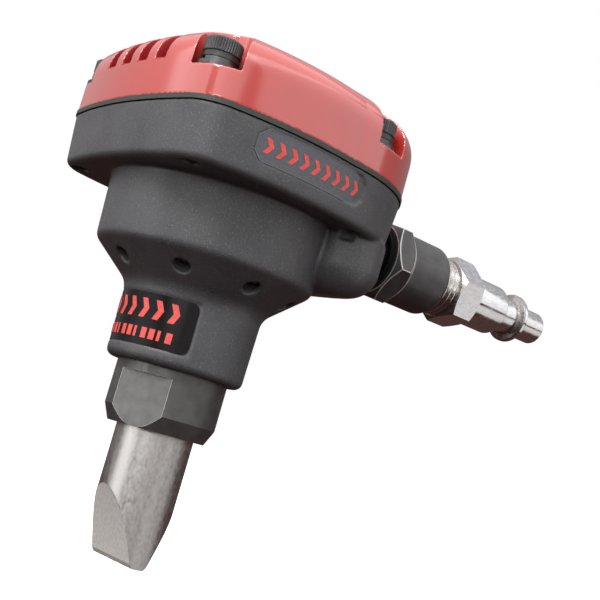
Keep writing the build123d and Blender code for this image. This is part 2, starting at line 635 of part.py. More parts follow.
# ---------------------------------------------------------------- retainer nut and bit
with BuildPart() as bit_retainer_nut:
    with BuildSketch(Plane.XZ):
        with BuildLine():
            Polyline(
                (BIT_R + CLEARANCE, NUT_BOTTOM_Z),
                (NUT_CONE_R, NUT_BOTTOM_Z),
                (NUT_R, NUT_CONE_Z),
                (NUT_R, NECK_BOTTOM_Z - NUT_TOP_CHAMFER),
                (NUT_R - NUT_TOP_CHAMFER, NECK_BOTTOM_Z),
                (NUT_SPIGOT_R, NECK_BOTTOM_Z),
                (NUT_SPIGOT_R, NUT_SPIGOT_TOP_Z),
                (NUT_BORE_R, NUT_SPIGOT_TOP_Z),
                (NUT_BORE_R, NUT_SEAT_Z),
                (BIT_R + CLEARANCE, NUT_SEAT_Z),
                close=True,
            )
        make_face()
    revolve(axis=Axis.Z)
    # two wrench flats that stop short of the collar
    with BuildSketch(Plane.XY.offset(NUT_BOTTOM_Z)):
        for side in (0, 180):
            with Locations(Rot(0, 0, NUT_FLAT_ANGLE + side) * Pos(NUT_FLAT_APOTHEM, 0)):
                Rectangle(NUT_R, 2 * NUT_R, align=(Align.MIN, Align.CENTER))
    extrude(amount=NUT_FLAT_TOP_Z - NUT_BOTTOM_Z, mode=Mode.SUBTRACT)
bit_retainer_nut.part.label = "bit_retainer_nut"
export_step(bit_retainer_nut.part, "parts/bit_retainer_nut.step")

with BuildPart() as flooring_bit:
    with BuildSketch():
        Circle(BIT_R)
    extrude(amount=BIT_LENGTH)
    chamfer(flooring_bit.faces().sort_by(Axis.Z)[0].edges(), BIT_EDGE_BREAK)
    with BuildSketch(Plane.XY.offset(BIT_COLLAR_Z)):
        Circle(BIT_COLLAR_R)
    extrude(amount=BIT_LENGTH - BIT_COLLAR_Z)
    with BuildSketch(Plane.XY.offset(BIT_RING_Z - RING_WIRE)):
        Circle(BIT_COLLAR_R + CUT_PAST)
        Circle(BIT_RING_R - RING_WIRE / 2, mode=Mode.SUBTRACT)
    extrude(amount=2 * RING_WIRE, mode=Mode.SUBTRACT)
    # two hollow-ground faces that leave a flat blade across Y
    with BuildSketch(Plane.XZ):
        with BuildLine():
            middle_x = (BIT_EDGE_HALF + BIT_R) / 2 - BIT_GRIND_HOLLOW
            middle_z = BIT_GRIND_Z / 2
            ThreePointArc((BIT_EDGE_HALF, 0), (middle_x, middle_z), (BIT_R, BIT_GRIND_Z))
            outer_x = BIT_R + CUT_PAST
            Polyline((BIT_R, BIT_GRIND_Z), (outer_x, BIT_GRIND_Z), (outer_x, -CUT_PAST))
            Polyline((outer_x, -CUT_PAST), (BIT_EDGE_HALF, -CUT_PAST), (BIT_EDGE_HALF, 0))
        make_face()
        mirror(about=Plane.YZ)
    extrude(amount=2 * BIT_R, both=True, mode=Mode.SUBTRACT)
flooring_bit.part.label = "flooring_bit"
export_step(flooring_bit.part, "parts/flooring_bit.step")

with BuildPart() as bit_o_ring:
    with Locations((0, 0, BIT_RING_Z)):
        Torus(BIT_RING_R, RING_WIRE / 2)
bit_o_ring.part.label = "bit_o_ring"
export_step(bit_o_ring.part, "parts/bit_o_ring.step")

SPRING_BOTTOM_Z = BIT_LENGTH + SPRING_WIRE / 2 + CLEARANCE
SPRING_TOP_Z = NECK_BORE_TOP_Z - SPRING_WIRE / 2 - CLEARANCE
with BuildPart() as bit_return_spring:
    with BuildLine() as coil:
        Helix(
            pitch=(SPRING_TOP_Z - SPRING_BOTTOM_Z) / SPRING_TURNS,
            height=SPRING_TOP_Z - SPRING_BOTTOM_Z,
            radius=SPRING_R,
            center=(0, 0, SPRING_BOTTOM_Z),
        )
    with BuildSketch(Plane(origin=coil.line @ 0, z_dir=coil.line % 0)):
        Circle(SPRING_WIRE / 2)
    sweep()
bit_return_spring.part.label = "bit_return_spring"
export_step(bit_return_spring.part, "parts/bit_return_spring.step")

# ---------------------------------------------------------------- valve stack under the cap
with BuildPart() as valve_seat_plate:
    with BuildSketch(Plane.XY.offset(SLEEVE_TOP_Z)):
        Circle(VALVE_PLATE_R)
        Circle(VALVE_PORT_R, mode=Mode.SUBTRACT)
    extrude(amount=VALVE_PLATE_T)
    with BuildSketch(Plane.XY.offset(SLEEVE_TOP_Z)):
        Circle(VALVE_PLATE_R)
        Circle(SLEEVE_R + CLEARANCE, mode=Mode.SUBTRACT)
    extrude(amount=-VALVE_PLATE_T, mode=Mode.ADD)
valve_seat_plate.part.label = "valve_seat_plate"
export_step(valve_seat_plate.part, "parts/valve_seat_plate.step")

VALVE_SEAT_Z = SLEEVE_TOP_Z + VALVE_PLATE_T
with BuildPart() as valve_disc:
    with BuildSketch(Plane.XY.offset(VALVE_SEAT_Z + SEAT_GAP)):
        Circle(VALVE_DISC_R)
    extrude(amount=VALVE_DISC_T)
    fillet(valve_disc.edges(), VALVE_DISC_FILLET)
valve_disc.part.label = "valve_disc"
export_step(valve_disc.part, "parts/valve_disc.step")

with BuildPart() as valve_cage:
    with BuildSketch(Plane.XY.offset(VALVE_SEAT_Z)):
        Circle(VALVE_CAGE_R)
        Circle(VALVE_DISC_R + VALVE_DISC_GAP, mode=Mode.SUBTRACT)
    extrude(amount=VALVE_CAGE_DEPTH)
    with BuildSketch(Plane.XY.offset(VALVE_SEAT_Z + VALVE_CAGE_DEPTH)):
        Circle(VALVE_CAGE_R)
        Circle(VALVE_PORT_R, mode=Mode.SUBTRACT)
    extrude(amount=CAP_CEILING_Z - VALVE_SEAT_Z - VALVE_CAGE_DEPTH)
    with BuildSketch(Plane.XY.offset(VALVE_SEAT_Z)):
        with PolarLocations(0, VALVE_WINDOW_COUNT):
            Rectangle(VALVE_CAGE_R + CUT_PAST, VALVE_WINDOW_W, align=(Align.MIN, Align.CENTER))
    extrude(amount=VALVE_CAGE_DEPTH - VALVE_WINDOW_LINTEL, mode=Mode.SUBTRACT)
valve_cage.part.label = "valve_cage"
export_step(valve_cage.part, "parts/valve_cage.step")

with BuildPart() as cap_bumper:
    with BuildSketch(Plane.XY.offset(CAP_CEILING_Z)):
        Circle(BUMPER_R)
    extrude(amount=BUMPER_T - 2 * CLEARANCE)
cap_bumper.part.label = "cap_bumper"
export_step(cap_bumper.part, "parts/cap_bumper.step")

with BuildPart() as exhaust_muffler:
    with BuildSketch(Plane.XY.offset(CHAMBER_FLOOR_Z)):
        Circle(CHAMBER_R - MUFFLER_GAP)
        Circle(SLEEVE_R + MUFFLER_GAP, mode=Mode.SUBTRACT)
    extrude(amount=MUFFLER_H)
exhaust_muffler.part.label = "exhaust_muffler"
export_step(exhaust_muffler.part, "parts/exhaust_muffler.step")

# ---------------------------------------------------------------- air inlet
with BuildPart() as inlet_screen:
    with BuildSketch(Plane.YZ.offset(INLET_THREAD_X)):
        with Locations((0, INLET_Z)):
            Circle(SCREEN_R)
            with HexLocations(SCREEN_HOLE_APOTHEM, SCREEN_HOLES, SCREEN_HOLES):
                Circle(SCREEN_HOLE_R, mode=Mode.SUBTRACT)
    extrude(amount=SCREEN_T)
inlet_screen.part.label = "inlet_screen"
export_step(inlet_screen.part, "parts/inlet_screen.step")

with BuildPart() as swivel_stem:
    # threaded shank in the housing, collar against its boss, then the journal
    for start, end, radius in [
        (INLET_THREAD_X + SCREEN_T, INLET_BOSS_X, INLET_THREAD_R - CLEARANCE),
        (INLET_BOSS_X, STEM_COLLAR_X, STEM_COLLAR_R),
        (STEM_COLLAR_X, STEM_END_X, STEM_JOURNAL_R),
    ]:
        with BuildSketch(Plane.YZ.offset(start)):
            with Locations((0, INLET_Z)):
                Circle(radius)
        extrude(amount=end - start)
    # grooves for two O-rings and the snap ring
    for groove_x, groove_w, groove_r in [
        (STEM_RING_X[0] - RING_WIRE / 2, RING_WIRE, STEM_RING_R - RING_WIRE / 2),
        (STEM_RING_X[1] - RING_WIRE / 2, RING_WIRE, STEM_RING_R - RING_WIRE / 2),
        (SNAP_RING_X, SNAP_RING_T, SNAP_RING_INNER_R),
    ]:
        with BuildSketch(Plane.YZ.offset(groove_x)):
            with Locations((0, INLET_Z)):
                Circle(STEM_JOURNAL_R + CUT_PAST)
                Circle(groove_r, mode=Mode.SUBTRACT)
        extrude(amount=groove_w, mode=Mode.SUBTRACT)
    with BuildSketch(Plane.YZ.offset(INLET_THREAD_X)):
        with Locations((0, INLET_Z)):
            Circle(STEM_BORE_R)
    extrude(amount=STEM_END_X - INLET_THREAD_X, mode=Mode.SUBTRACT)
swivel_stem.part.label = "swivel_stem"
export_step(swivel_stem.part, "parts/swivel_stem.step")

with BuildPart() as swivel_stem_o_rings:
    for ring_x in STEM_RING_X:
        with Locations(Location((ring_x, 0, INLET_Z), (0, 90, 0))):
            Torus(STEM_RING_R, RING_WIRE / 2)
swivel_stem_o_rings.part.label = "swivel_stem_o_rings"
export_step(swivel_stem_o_rings.part, "parts/swivel_stem_o_rings.step")

with BuildPart() as swivel_snap_ring:
    with BuildSketch(Plane.YZ.offset(SNAP_RING_X)):
        with Locations((0, INLET_Z)):
            Circle(SNAP_RING_R)
            Circle(SNAP_RING_INNER_R, mode=Mode.SUBTRACT)
            Rectangle(SNAP_RING_GAP, 2 * SNAP_RING_R, align=(Align.CENTER, Align.MIN), mode=Mode.SUBTRACT)
    extrude(amount=SNAP_RING_T)
swivel_snap_ring.part.label = "swivel_snap_ring"
export_step(swivel_snap_ring.part, "parts/swivel_snap_ring.step")

with BuildPart() as swivel_thrust_washer:
    with BuildSketch(Plane.YZ.offset(STEM_COLLAR_X)):
        with Locations((0, INLET_Z)):
            Circle(WASHER_R)
            Circle(STEM_JOURNAL_R + CLEARANCE, mode=Mode.SUBTRACT)
    extrude(amount=WASHER_T)
swivel_thrust_washer.part.label = "swivel_thrust_washer"
export_step(swivel_thrust_washer.part, "parts/swivel_thrust_washer.step")

INLET_AXIS = Axis((0, 0, INLET_Z), (1, 0, 0))
with BuildPart() as swivel_barrel:
    with BuildSketch(Plane.YZ.offset(BARREL_HEX_X)):
        with Locations((0, INLET_Z)):
            RegularPolygon(BARREL_HEX_AF / 2, 6, major_radius=False, rotation=BARREL_HEX_TURN)
    extrude(amount=BARREL_HEX_END_X - BARREL_HEX_X)
    # both ends of the hexagon are turned to a cone
    corner_r = BARREL_HEX_AF / 2 * FLAT_TO_CORNER
    with BuildSketch(Plane.XZ):
        with BuildLine():
            Polyline(
                (BARREL_HEX_X, INLET_Z),
                (BARREL_HEX_X, INLET_Z + BARREL_HEX_FACE_R),
                (BARREL_HEX_X + BARREL_HEX_INNER_CONE, INLET_Z + corner_r),
                (BARREL_HEX_END_X - BARREL_HEX_OUTER_CONE, INLET_Z + corner_r),
                (BARREL_HEX_END_X, INLET_Z + BARREL_ROUND_R),
                (BARREL_HEX_END_X, INLET_Z),
                close=True,
            )
        make_face()
    revolve(axis=INLET_AXIS, mode=Mode.INTERSECT)
    with BuildSketch(Plane.YZ.offset(BARREL_HEX_END_X)):
        with Locations((0, INLET_Z)):
            Circle(BARREL_ROUND_R)
    extrude(amount=BARREL_END_X - BARREL_HEX_END_X)
    fillet(swivel_barrel.faces().sort_by(Axis.X)[-1].edges(), BARREL_END_FILLET)
    for start, end, radius in [
        (BARREL_HEX_X, SNAP_RING_X - SEAT_GAP, BARREL_JOURNAL_R),
        (SNAP_RING_X - SEAT_GAP, BARREL_RECESS_END_X, BARREL_RECESS_R),
        (BARREL_RECESS_END_X, BARREL_END_X, BARREL_THREAD_R),
    ]:
        with BuildSketch(Plane.YZ.offset(start)):
            with Locations((0, INLET_Z)):
                Circle(radius)
        extrude(amount=end - start, mode=Mode.SUBTRACT)
swivel_barrel.part.label = "swivel_barrel"
export_step(swivel_barrel.part, "parts/swivel_barrel.step")

with BuildPart() as air_plug:
    with BuildSketch(Plane.YZ.offset(PLUG_HEX_X)):
        with Locations((0, INLET_Z)):
            RegularPolygon(PLUG_HEX_AF / 2, 6, major_radius=False, rotation=PLUG_HEX_TURN)
    extrude(amount=PLUG_HEX_END_X - PLUG_HEX_X)
    corner_r = PLUG_HEX_AF / 2 * FLAT_TO_CORNER
    with BuildSketch(Plane.XZ):
        with BuildLine():
            Polyline(
                (PLUG_HEX_X, INLET_Z),
                (PLUG_HEX_X, INLET_Z + PLUG_HEX_FACE_R),
                (PLUG_HEX_X + PLUG_HEX_CONE, INLET_Z + corner_r),
                (PLUG_HEX_END_X - PLUG_HEX_CONE, INLET_Z + corner_r),
                (PLUG_HEX_END_X, INLET_Z + PLUG_HEX_FACE_R),
                (PLUG_HEX_END_X, INLET_Z),
                close=True,
            )
        make_face()
    revolve(axis=INLET_AXIS, mode=Mode.INTERSECT)
    # turned profile: pipe thread, body, groove, ridge and tip
    lead_in, step, blend = PLUG_RIDGE_FRONT
    ridge_count = int((PLUG_HEX_X - BARREL_END_X) / PLUG_THREAD_PITCH)
    with BuildSketch(Plane.XZ):
        with BuildLine():
            thread_start_z = INLET_Z + PLUG_THREAD_R - PLUG_THREAD_CHAMFER
            profile = [(PLUG_INNER_X, INLET_Z), (PLUG_INNER_X, thread_start_z)]
            for index in range(ridge_count):
                ridge_x = BARREL_END_X + index * PLUG_THREAD_PITCH
                profile.append((ridge_x, INLET_Z + PLUG_THREAD_ROOT_R))
                for share in PLUG_THREAD_CREST:
                    profile.append((ridge_x + share * PLUG_THREAD_PITCH, INLET_Z + PLUG_THREAD_R))
            profile += [
                (BARREL_END_X + ridge_count * PLUG_THREAD_PITCH, INLET_Z + PLUG_THREAD_ROOT_R),
                (PLUG_HEX_X, INLET_Z + PLUG_THREAD_ROOT_R),
                (PLUG_HEX_X, INLET_Z + PLUG_BODY_R),
                (PLUG_GROOVE_X - PLUG_GROOVE_CONE, INLET_Z + PLUG_BODY_R),
                (PLUG_GROOVE_X, INLET_Z + PLUG_GROOVE_R),
                (PLUG_RIDGE_X - lead_in, INLET_Z + PLUG_GROOVE_R),
                (PLUG_RIDGE_X, INLET_Z + PLUG_BODY_R - step),
                (PLUG_RIDGE_X + blend, INLET_Z + PLUG_BODY_R),
                (PLUG_RIDGE_END_X - PLUG_RIDGE_REAR, INLET_Z + PLUG_BODY_R),
                (PLUG_RIDGE_END_X, INLET_Z + PLUG_TIP_R),
                (PLUG_END_X - PLUG_TIP_CHAMFER, INLET_Z + PLUG_TIP_R),
                (PLUG_END_X, INLET_Z + PLUG_TIP_R - PLUG_TIP_CHAMFER),
                (PLUG_END_X, INLET_Z),
            ]
            Polyline(*profile, close=True)
        make_face()
    revolve(axis=INLET_AXIS)
    with BuildSketch(Plane.YZ.offset(PLUG_INNER_X)):
        with Locations((0, INLET_Z)):
            Circle(PLUG_BORE_R)
    extrude(amount=PLUG_END_X - PLUG_INNER_X, mode=Mode.SUBTRACT)
air_plug.part.label = "air_plug"
export_step(air_plug.part, "parts/air_plug.step")

# ---------------------------------------------------------------- markings
with BuildPart() as neck_label:
    with BuildSketch(Plane.XZ.rotated((0, 0, 180 - LABEL_HALF_ANGLE + LABEL_MARGIN_ANGLE))):
        with BuildLine():
            Polyline(
                (neck_radius(LABEL_BOTTOM_Z) - LABEL_T, LABEL_BOTTOM_Z),
                (neck_radius(LABEL_TOP_Z) - LABEL_T, LABEL_TOP_Z),
                (neck_radius(LABEL_TOP_Z) - LABEL_SINK, LABEL_TOP_Z),
                (neck_radius(LABEL_BOTTOM_Z) - LABEL_SINK, LABEL_BOTTOM_Z),
                close=True,
            )
        make_face()
    revolve(axis=Axis.Z, revolution_arc=2 * (LABEL_HALF_ANGLE - LABEL_MARGIN_ANGLE))
neck_label.part.label = "neck_label"
export_step(neck_label.part, "parts/neck_label.step")
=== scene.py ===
import math

import bmesh
import bpy
from mathutils import Matrix, Vector


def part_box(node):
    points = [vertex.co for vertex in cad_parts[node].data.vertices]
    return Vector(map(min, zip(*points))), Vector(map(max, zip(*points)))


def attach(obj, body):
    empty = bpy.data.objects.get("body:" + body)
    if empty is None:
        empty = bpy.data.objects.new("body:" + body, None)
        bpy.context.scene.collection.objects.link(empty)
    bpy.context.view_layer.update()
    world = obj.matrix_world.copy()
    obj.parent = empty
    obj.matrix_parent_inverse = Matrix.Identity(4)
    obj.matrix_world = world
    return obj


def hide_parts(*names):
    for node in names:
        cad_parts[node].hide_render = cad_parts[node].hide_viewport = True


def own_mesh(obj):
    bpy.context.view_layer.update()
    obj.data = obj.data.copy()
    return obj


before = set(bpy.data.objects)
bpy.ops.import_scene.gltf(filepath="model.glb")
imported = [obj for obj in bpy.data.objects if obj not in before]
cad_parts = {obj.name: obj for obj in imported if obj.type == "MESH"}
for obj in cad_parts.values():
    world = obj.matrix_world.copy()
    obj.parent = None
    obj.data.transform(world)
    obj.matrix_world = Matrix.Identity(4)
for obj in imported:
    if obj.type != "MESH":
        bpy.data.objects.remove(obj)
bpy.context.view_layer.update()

# Lengths are written in millimetres and turned into metres where a mesh or a light is made.
MM = 0.001

# ------------------------------------------------------------------ sizes of the visible pieces
FRONT_X, FRONT_CORNER = -28.0, (-25.1, 25.6)
SIDE_MIDDLE, REAR_JOIN, REAR_X = (-7.0, 29.6), (7.0, 29.0), 36.0
CORNER_FILLET = 8.0
FLANGE_BOTTOM_Z, BODY_TOP_Z, FLANGE_DRAFT = 72.6, 83.1, 0.8
CAP_BOTTOM_Z, SKIRT_TOP_Z, DOME_H, DOME_POWER = 84.0, 90.5, 10.0, 0.65
CAVITY_R, CEILING_Z, BUMPER_RECESS_R, BUMPER_TOP_Z = 19.5, 95.0, 12.1, 98.5
POCKET_FLOOR_Z, POCKET_W = 89.8, 9.4
POCKET_REACH, HOLE_OVERRUN = 22, 1
FRONT_SCREW, REAR_SCREW = (-21.9, 20.7, 128), (14.8, 23.2, 68)
SCREWS = [(x, side * y, side * turn) for x, y, turn in (FRONT_SCREW, REAR_SCREW) for side in (1, -1)]
VENT_FLOOR_Z, VENT_W, VENT_PITCH, VENT_COUNT = 91.4, 3.3, 6.1, 4
VENT_ENDS = ((-30.0, -20.7), (26.5, 38.0))
VENT_SIDE_MARGIN, VENT_FLOOR_MARGIN = 0.06, 0.3
DOME_STEPS, DOME_SPACING = 44, 1.25
HEAD_BOTTOM_Z, HEAD_R, HEAD_H = 91.5, 3.5, 4.0
SHANK_R, SHANK_LENGTH, HOLE_R = 2.0, 16.0, 2.2
SOCKET_AF, SOCKET_DEPTH, SOCKET_TURN, SOCKET_RIM, SHANK_CHAMFER = 3.0, 2.2, 15, 0.9, 0.4
# A screw head from its underside up, as (inset from the head's radius, height over the underside)
# and then, from the knurl's end to the top face, as (inset, depth under the top).
HEAD_FOOT = [(0.15, 0), (0, 0.15), (0, 0.85), (0.18, 1.0), (0.18, 1.15), (0.02, 1.3), (0, 1.4), (0, 2.6)]
HEAD_CROWN = [(0, 0.4), (0.12, 0.2), (0.4, 0)]
KNURL_TEETH, KNURL_FROM, KNURL_TO = 42, 1.35, 0.35
KNURL_RIPPLE = (0.06, 0.02, -0.09, 0.02)
NUT_R, NUT_BOTTOM_Z, NUT_CONE_Z, NUT_CONE_R, NUT_TOP_Z = 11.1, 25.6, 28.7, 9.7, 37.7
NUT_FLAT_APOTHEM, NUT_FLAT_TOP_Z, NUT_FLAT_TURN = 9.65, 35.9, 30
NUT_SPIGOT_R, NUT_SPIGOT_TOP_Z, NUT_BORE_R, NUT_SEAT_Z = 10.1, 46.0, 8.6, 34.0
NUT_CUTTER, BIT_CUTTER = 15, 12
NUT_EDGE_BREAK, BIT_EDGE_BREAK, BARREL_EDGE_BREAK = 0.36, 0.12, 0.20
BIT_R, BIT_LENGTH, BIT_COLLAR_R, BIT_COLLAR_Z, BIT_RING_Z = 7.75, 38.3, 8.5, 34.3, 36.4
BIT_GRIND_Z, BIT_EDGE_HALF, BIT_HOLLOW, BIT_EDGE_CHAMFER = 13.9, 1.7, 0.35, 0.4
BIT_RING_HALF, BIT_RING_R, BIT_END_Z, BIT_TRAVEL, SLIDE_GAP = 1.0, 7.53, 1.0, 5.0, 0.05
SPRING_R, SPRING_WIRE_R, SPRING_TURNS = 6.3, 0.4, 3.5
INLET_Z = 75.6
BARREL_HEX_X, BARREL_HEX_END_X, BARREL_HEX_AF, BARREL_HEX_TURN = 41.5, 47.0, 17.0, 12
BARREL_HEX_INSET, BARREL_HEX_CHAMFER, BARREL_HEX_RUN = 0.4, 1.2, 1.6
BARREL_R, BARREL_END_X, BARREL_FILLET, BARREL_OVERLAP = 8.2, 59.0, 1.3, 0.5
BARREL_NECK_BORE_R, BARREL_BORE_R, BARREL_THREAD_R, BARREL_THREAD_X = 5.27, 6.1, 6.5, 50.6
PLUG_HEX_X, PLUG_HEX_END_X, PLUG_HEX_AF, PLUG_HEX_TURN = 63.8, 71.0, 14.3, 46
PLUG_HEX_INSET, PLUG_HEX_CHAMFER, PLUG_HEX_CORE_R, PLUG_EDGE_R = 0.2, 0.9, 4.0, 0.18
PLUG_BORE_R, PLUG_BORE_X, PLUG_TAPER_R, PLUG_TAPER_GAP = 2.6, 50.8, (6.45, 6.15), 0.3
THREAD_COUNT, THREAD_PITCH, THREAD_ROOT_R, THREAD_CREST_R = 3, 1.41, 6.1, 6.85
THREAD_CREST = (0.63, 0.85)
# The plug past its hexagon as (radius, x): body, groove, ridge, nose and the end of the bore.
PLUG_TAIL = [(5.95, PLUG_HEX_X + 0.2), (5.95, 81.6), (4.3, 82.0), (4.3, 87.65), (5.75, 88.0)]
PLUG_TAIL += [(5.95, 88.3), (5.95, 89.2), (3.95, 90.6), (3.95, 97.7), (3.45, 98.2), (PLUG_BORE_R, 98.2)]
NECK_BOTTOM_Z, NECK_TOP_Z, NECK_R_LOW, NECK_R_HIGH = 37.7, 52.5, 13.75, 14.05
LABEL_BOTTOM_Z, LABEL_TOP_Z, LABEL_HALF_ANGLE, LABEL_CORNER = 40.6, 50.6, 64.8, 1.6
LABEL_THICKNESS, LABEL_OUT, LABEL_CORNER_RISE = 0.2, -0.08, 0.96
LABEL_CHEVRONS, LABEL_CHEVRON_STEP, LABEL_CHEVRON_Z = 8, 13.2, (45.7, 47.55, 49.4)
LABEL_CHEVRON_REACH, LABEL_CHEVRON_W = 3.6, 5.2
LABEL_BARS, LABEL_BAR_STEP, LABEL_BAR_Z, LABEL_BAR_W = 14, 7.3, (41.9, 43.9), (5.0, 2.6)
LABEL_MARKS_START, LABEL_MARK_LIFT = -50, -0.02
PLATE_X, PLATE_Z, PLATE_CORNER = (-14.6, 12.0), (76.1, 82.3), 1.7
PLATE_THICKNESS, PLATE_OUT, PLATE_RIM_INSETS, PLATE_RIM_OUT = 0.3, -0.06, (0.02, 0.13), 0.02
PLATE_CHEVRONS, PLATE_CHEVRON_STEP, PLATE_CHEVRON_Z = 9, 2.66, (77.8, 79.2, 80.6)
PLATE_MARKS_START, PLATE_CHEVRON_REACH, PLATE_CHEVRON_W, PLATE_MARK_LIFT = -13.0, 1.0, 1.0, -0.01


# ------------------------------------------------------------------ mesh helpers
def add_object(name, mesh):
    obj = bpy.data.objects.new(name, mesh)
    bpy.context.scene.collection.objects.link(obj)
    return obj


def from_bmesh(name, bm):
    """Turns a bmesh in millimetres into an object in metres."""
    bmesh.ops.recalc_face_normals(bm, faces=bm.faces)
    bmesh.ops.scale(bm, vec=(MM, MM, MM), verts=bm.verts)
    mesh = bpy.data.meshes.new(name)
    bm.to_mesh(mesh)
    bm.free()
    return add_object(name, mesh)


def apply_modifiers(obj):
    """Bakes an object's modifiers into its mesh."""
    graph = bpy.context.evaluated_depsgraph_get()
    source = obj.evaluated_get(graph)
    mesh = bpy.data.meshes.new_from_object(source, preserve_all_data_layers=True, depsgraph=graph)
    obj.modifiers.clear()
    obj.data = mesh
    return obj


def smooth(obj, angle=30):
    """Smooth shading, with edges sharper than the angle left sharp."""
    for face in obj.data.polygons:
        face.use_smooth = True
    obj.data.set_sharp_from_angle(angle=math.radians(angle))
    return obj


def boolean(obj, cutter, operation):
    """Applies a boolean and removes the cutter."""
    mod = obj.modifiers.new("cut", "BOOLEAN")
    mod.operation, mod.object, mod.solver = operation, cutter, "EXACT"
    apply_modifiers(obj)
    bpy.data.objects.remove(cutter)
    return obj


def weld(mesh, distance, flat_angle=None):
    """Merges vertices closer than the distance, and joins faces that lie within the flat angle."""
    bm = bmesh.new()
    bm.from_mesh(mesh)
    bmesh.ops.remove_doubles(bm, verts=bm.verts, dist=distance * MM)
    if flat_angle:
        limit = math.radians(flat_angle)
        bmesh.ops.dissolve_limit(bm, angle_limit=limit, verts=bm.verts, edges=bm.edges)
    bm.to_mesh(mesh)
    bm.free()


def break_edges(obj, width, material_index=-1):
    """Rounds sharp edges. The new faces can take their own material, for worn edges that are also
    painted edge highlights.
    """
    weld(obj.data, 0.012, flat_angle=0.4)
    bevel = obj.modifiers.new("bevel", "BEVEL")
    bevel.width, bevel.segments, bevel.limit_method = width * MM, 2, "ANGLE"
    bevel.angle_limit, bevel.miter_outer = math.radians(27), "MITER_ARC"
    bevel.material = material_index
    smooth(obj, 15)
    weighted = obj.modifiers.new("normals", "WEIGHTED_NORMAL")
    weighted.keep_sharp = True
    return apply_modifiers(obj)


def cast_soft(obj, voxel, passes):
    """Remeshes finely and relaxes, so that every edge is rounded as on a painted casting."""
    remesh = obj.modifiers.new("remesh", "REMESH")
    remesh.mode, remesh.voxel_size = "VOXEL", voxel * MM
    relax = obj.modifiers.new("relax", "SMOOTH")
    relax.factor, relax.iterations = 0.5, passes
    apply_modifiers(obj)
    return smooth(obj, 180)


def extruded(name, outline, low, high, axis="Z"):
    """A prism over a closed outline. Along Z the outline is (x, y), along Y (x, z), along X (y, z)."""
    place = {
        "Z": lambda a, b, h: (a, b, h),
        "Y": lambda a, b, h: (a, h, b),
        "X": lambda a, b, h: (h, a, b),
    }[axis]
    bm = bmesh.new()
    rings = [[bm.verts.new(place(a, b, h)) for a, b in outline] for h in (low, high)]
    count = len(outline)
    for i in range(count):
        j = (i + 1) % count
        bm.faces.new((rings[0][i], rings[0][j], rings[1][j], rings[1][i]))
    bm.faces.new(rings[0][::-1])
    bm.faces.new(rings[1])
    return from_bmesh(name, bm)


def lathe(name, profile, axis="Z", centre=(0, 0), segments=144, ripple=None):
    """Revolves a closed (radius, height) profile. ripple(height, column) adds to the radius."""
    bm = bmesh.new()
    rings = []
    for radius, height in profile:
        ring = []
        if radius < 1e-6:
            spot = (centre[0], centre[1], height) if axis == "Z" else (height, centre[0], centre[1])
            ring = [bm.verts.new(spot)] * segments
        else:
            for k in range(segments):
                turn = 2 * math.pi * k / segments
                r = radius + (ripple(height, k) if ripple else 0)
                a, b = centre[0] + r * math.cos(turn), centre[1] + r * math.sin(turn)
                ring.append(bm.verts.new((a, b, height) if axis == "Z" else (height, a, b)))
        rings.append(ring)
    for index, ring in enumerate(rings):
        following = rings[(index + 1) % len(rings)]
        for k in range(segments):
            j = (k + 1) % segments
            corners = []
            for vert in (ring[k], ring[j], following[j], following[k]):
                if vert not in corners:
                    corners.append(vert)
            if len(corners) > 2:
                bm.faces.new(corners)
    return from_bmesh(name, bm)


def rounded(points, radius):
    """Rounds every corner of a closed profile by the radius, or less where its runs are short."""
    steps = 4
    out = []
    count = len(points)
    for i in range(count):
        before, here, after = (Vector(points[(i + k) % count]) for k in (-1, 0, 1))
        on_axis = here.x < 1e-6
        u, w = before - here, after - here
        angle = u.angle(w, math.pi)
        if on_axis or angle > math.radians(172):
            out.append(tuple(here))
            continue
        reach = min(radius / math.tan(angle / 2), 0.45 * u.length, 0.45 * w.length)
        start, end = here + u.normalized() * reach, here + w.normalized() * reach
        for s in range(steps + 1):
            t = s / steps
            out.append(tuple(start * (1 - t) ** 2 + here * 2 * t * (1 - t) + end * t**2))
    return out


def corner_radius(across_flats):
    """From a hexagon's middle to its corners."""
    return across_flats / 2 / math.cos(math.radians(30))


def hexagon(across_flats, turn, centre):
    corner = corner_radius(across_flats)
    angles = [math.radians(turn + 60 * k) for k in range(6)]
    return [(centre[0] + corner * math.cos(a), centre[1] + corner * math.sin(a)) for a in angles]


# ------------------------------------------------------------------ plan outline of the head
def circle_through(p, q, r):
    """Centre and radius of the circle through three points."""
    (ax, ay), (bx, by), (cx, cy) = p, q, r
    d = 2 * (ax * (by - cy) + bx * (cy - ay) + cx * (ay - by))
    a2, b2, c2 = ax * ax + ay * ay, bx * bx + by * by, cx * cx + cy * cy
    x = (a2 * (by - cy) + b2 * (cy - ay) + c2 * (ay - by)) / d
    y = (a2 * (cx - bx) + b2 * (ax - cx) + c2 * (bx - ax)) / d
    return Vector((x, y)), math.hypot(ax - x, ay - y)


def arc(centre, start, end, count):
    """Points on the shorter arc from start to just before end."""
    a, b = (start - centre).angle_signed(Vector((1, 0))), (end - centre).angle_signed(Vector((1, 0)))
    sweep = (b - a + math.pi) % (2 * math.pi) - math.pi
    radius = (start - centre).length
    turns = [a + sweep * k / count for k in range(count)]
    return [(centre.x + radius * math.cos(t), centre.y + radius * math.sin(t)) for t in turns]


FRONT_CENTRE, FRONT_R = circle_through(FRONT_CORNER, (FRONT_X, 0), (FRONT_CORNER[0], -FRONT_CORNER[1]))
SIDE_CENTRE, SIDE_R = circle_through(FRONT_CORNER, SIDE_MIDDLE, REAR_JOIN)
REAR_CENTRE, _ = circle_through(REAR_JOIN, (REAR_X, 0), (REAR_JOIN[0], -REAR_JOIN[1]))


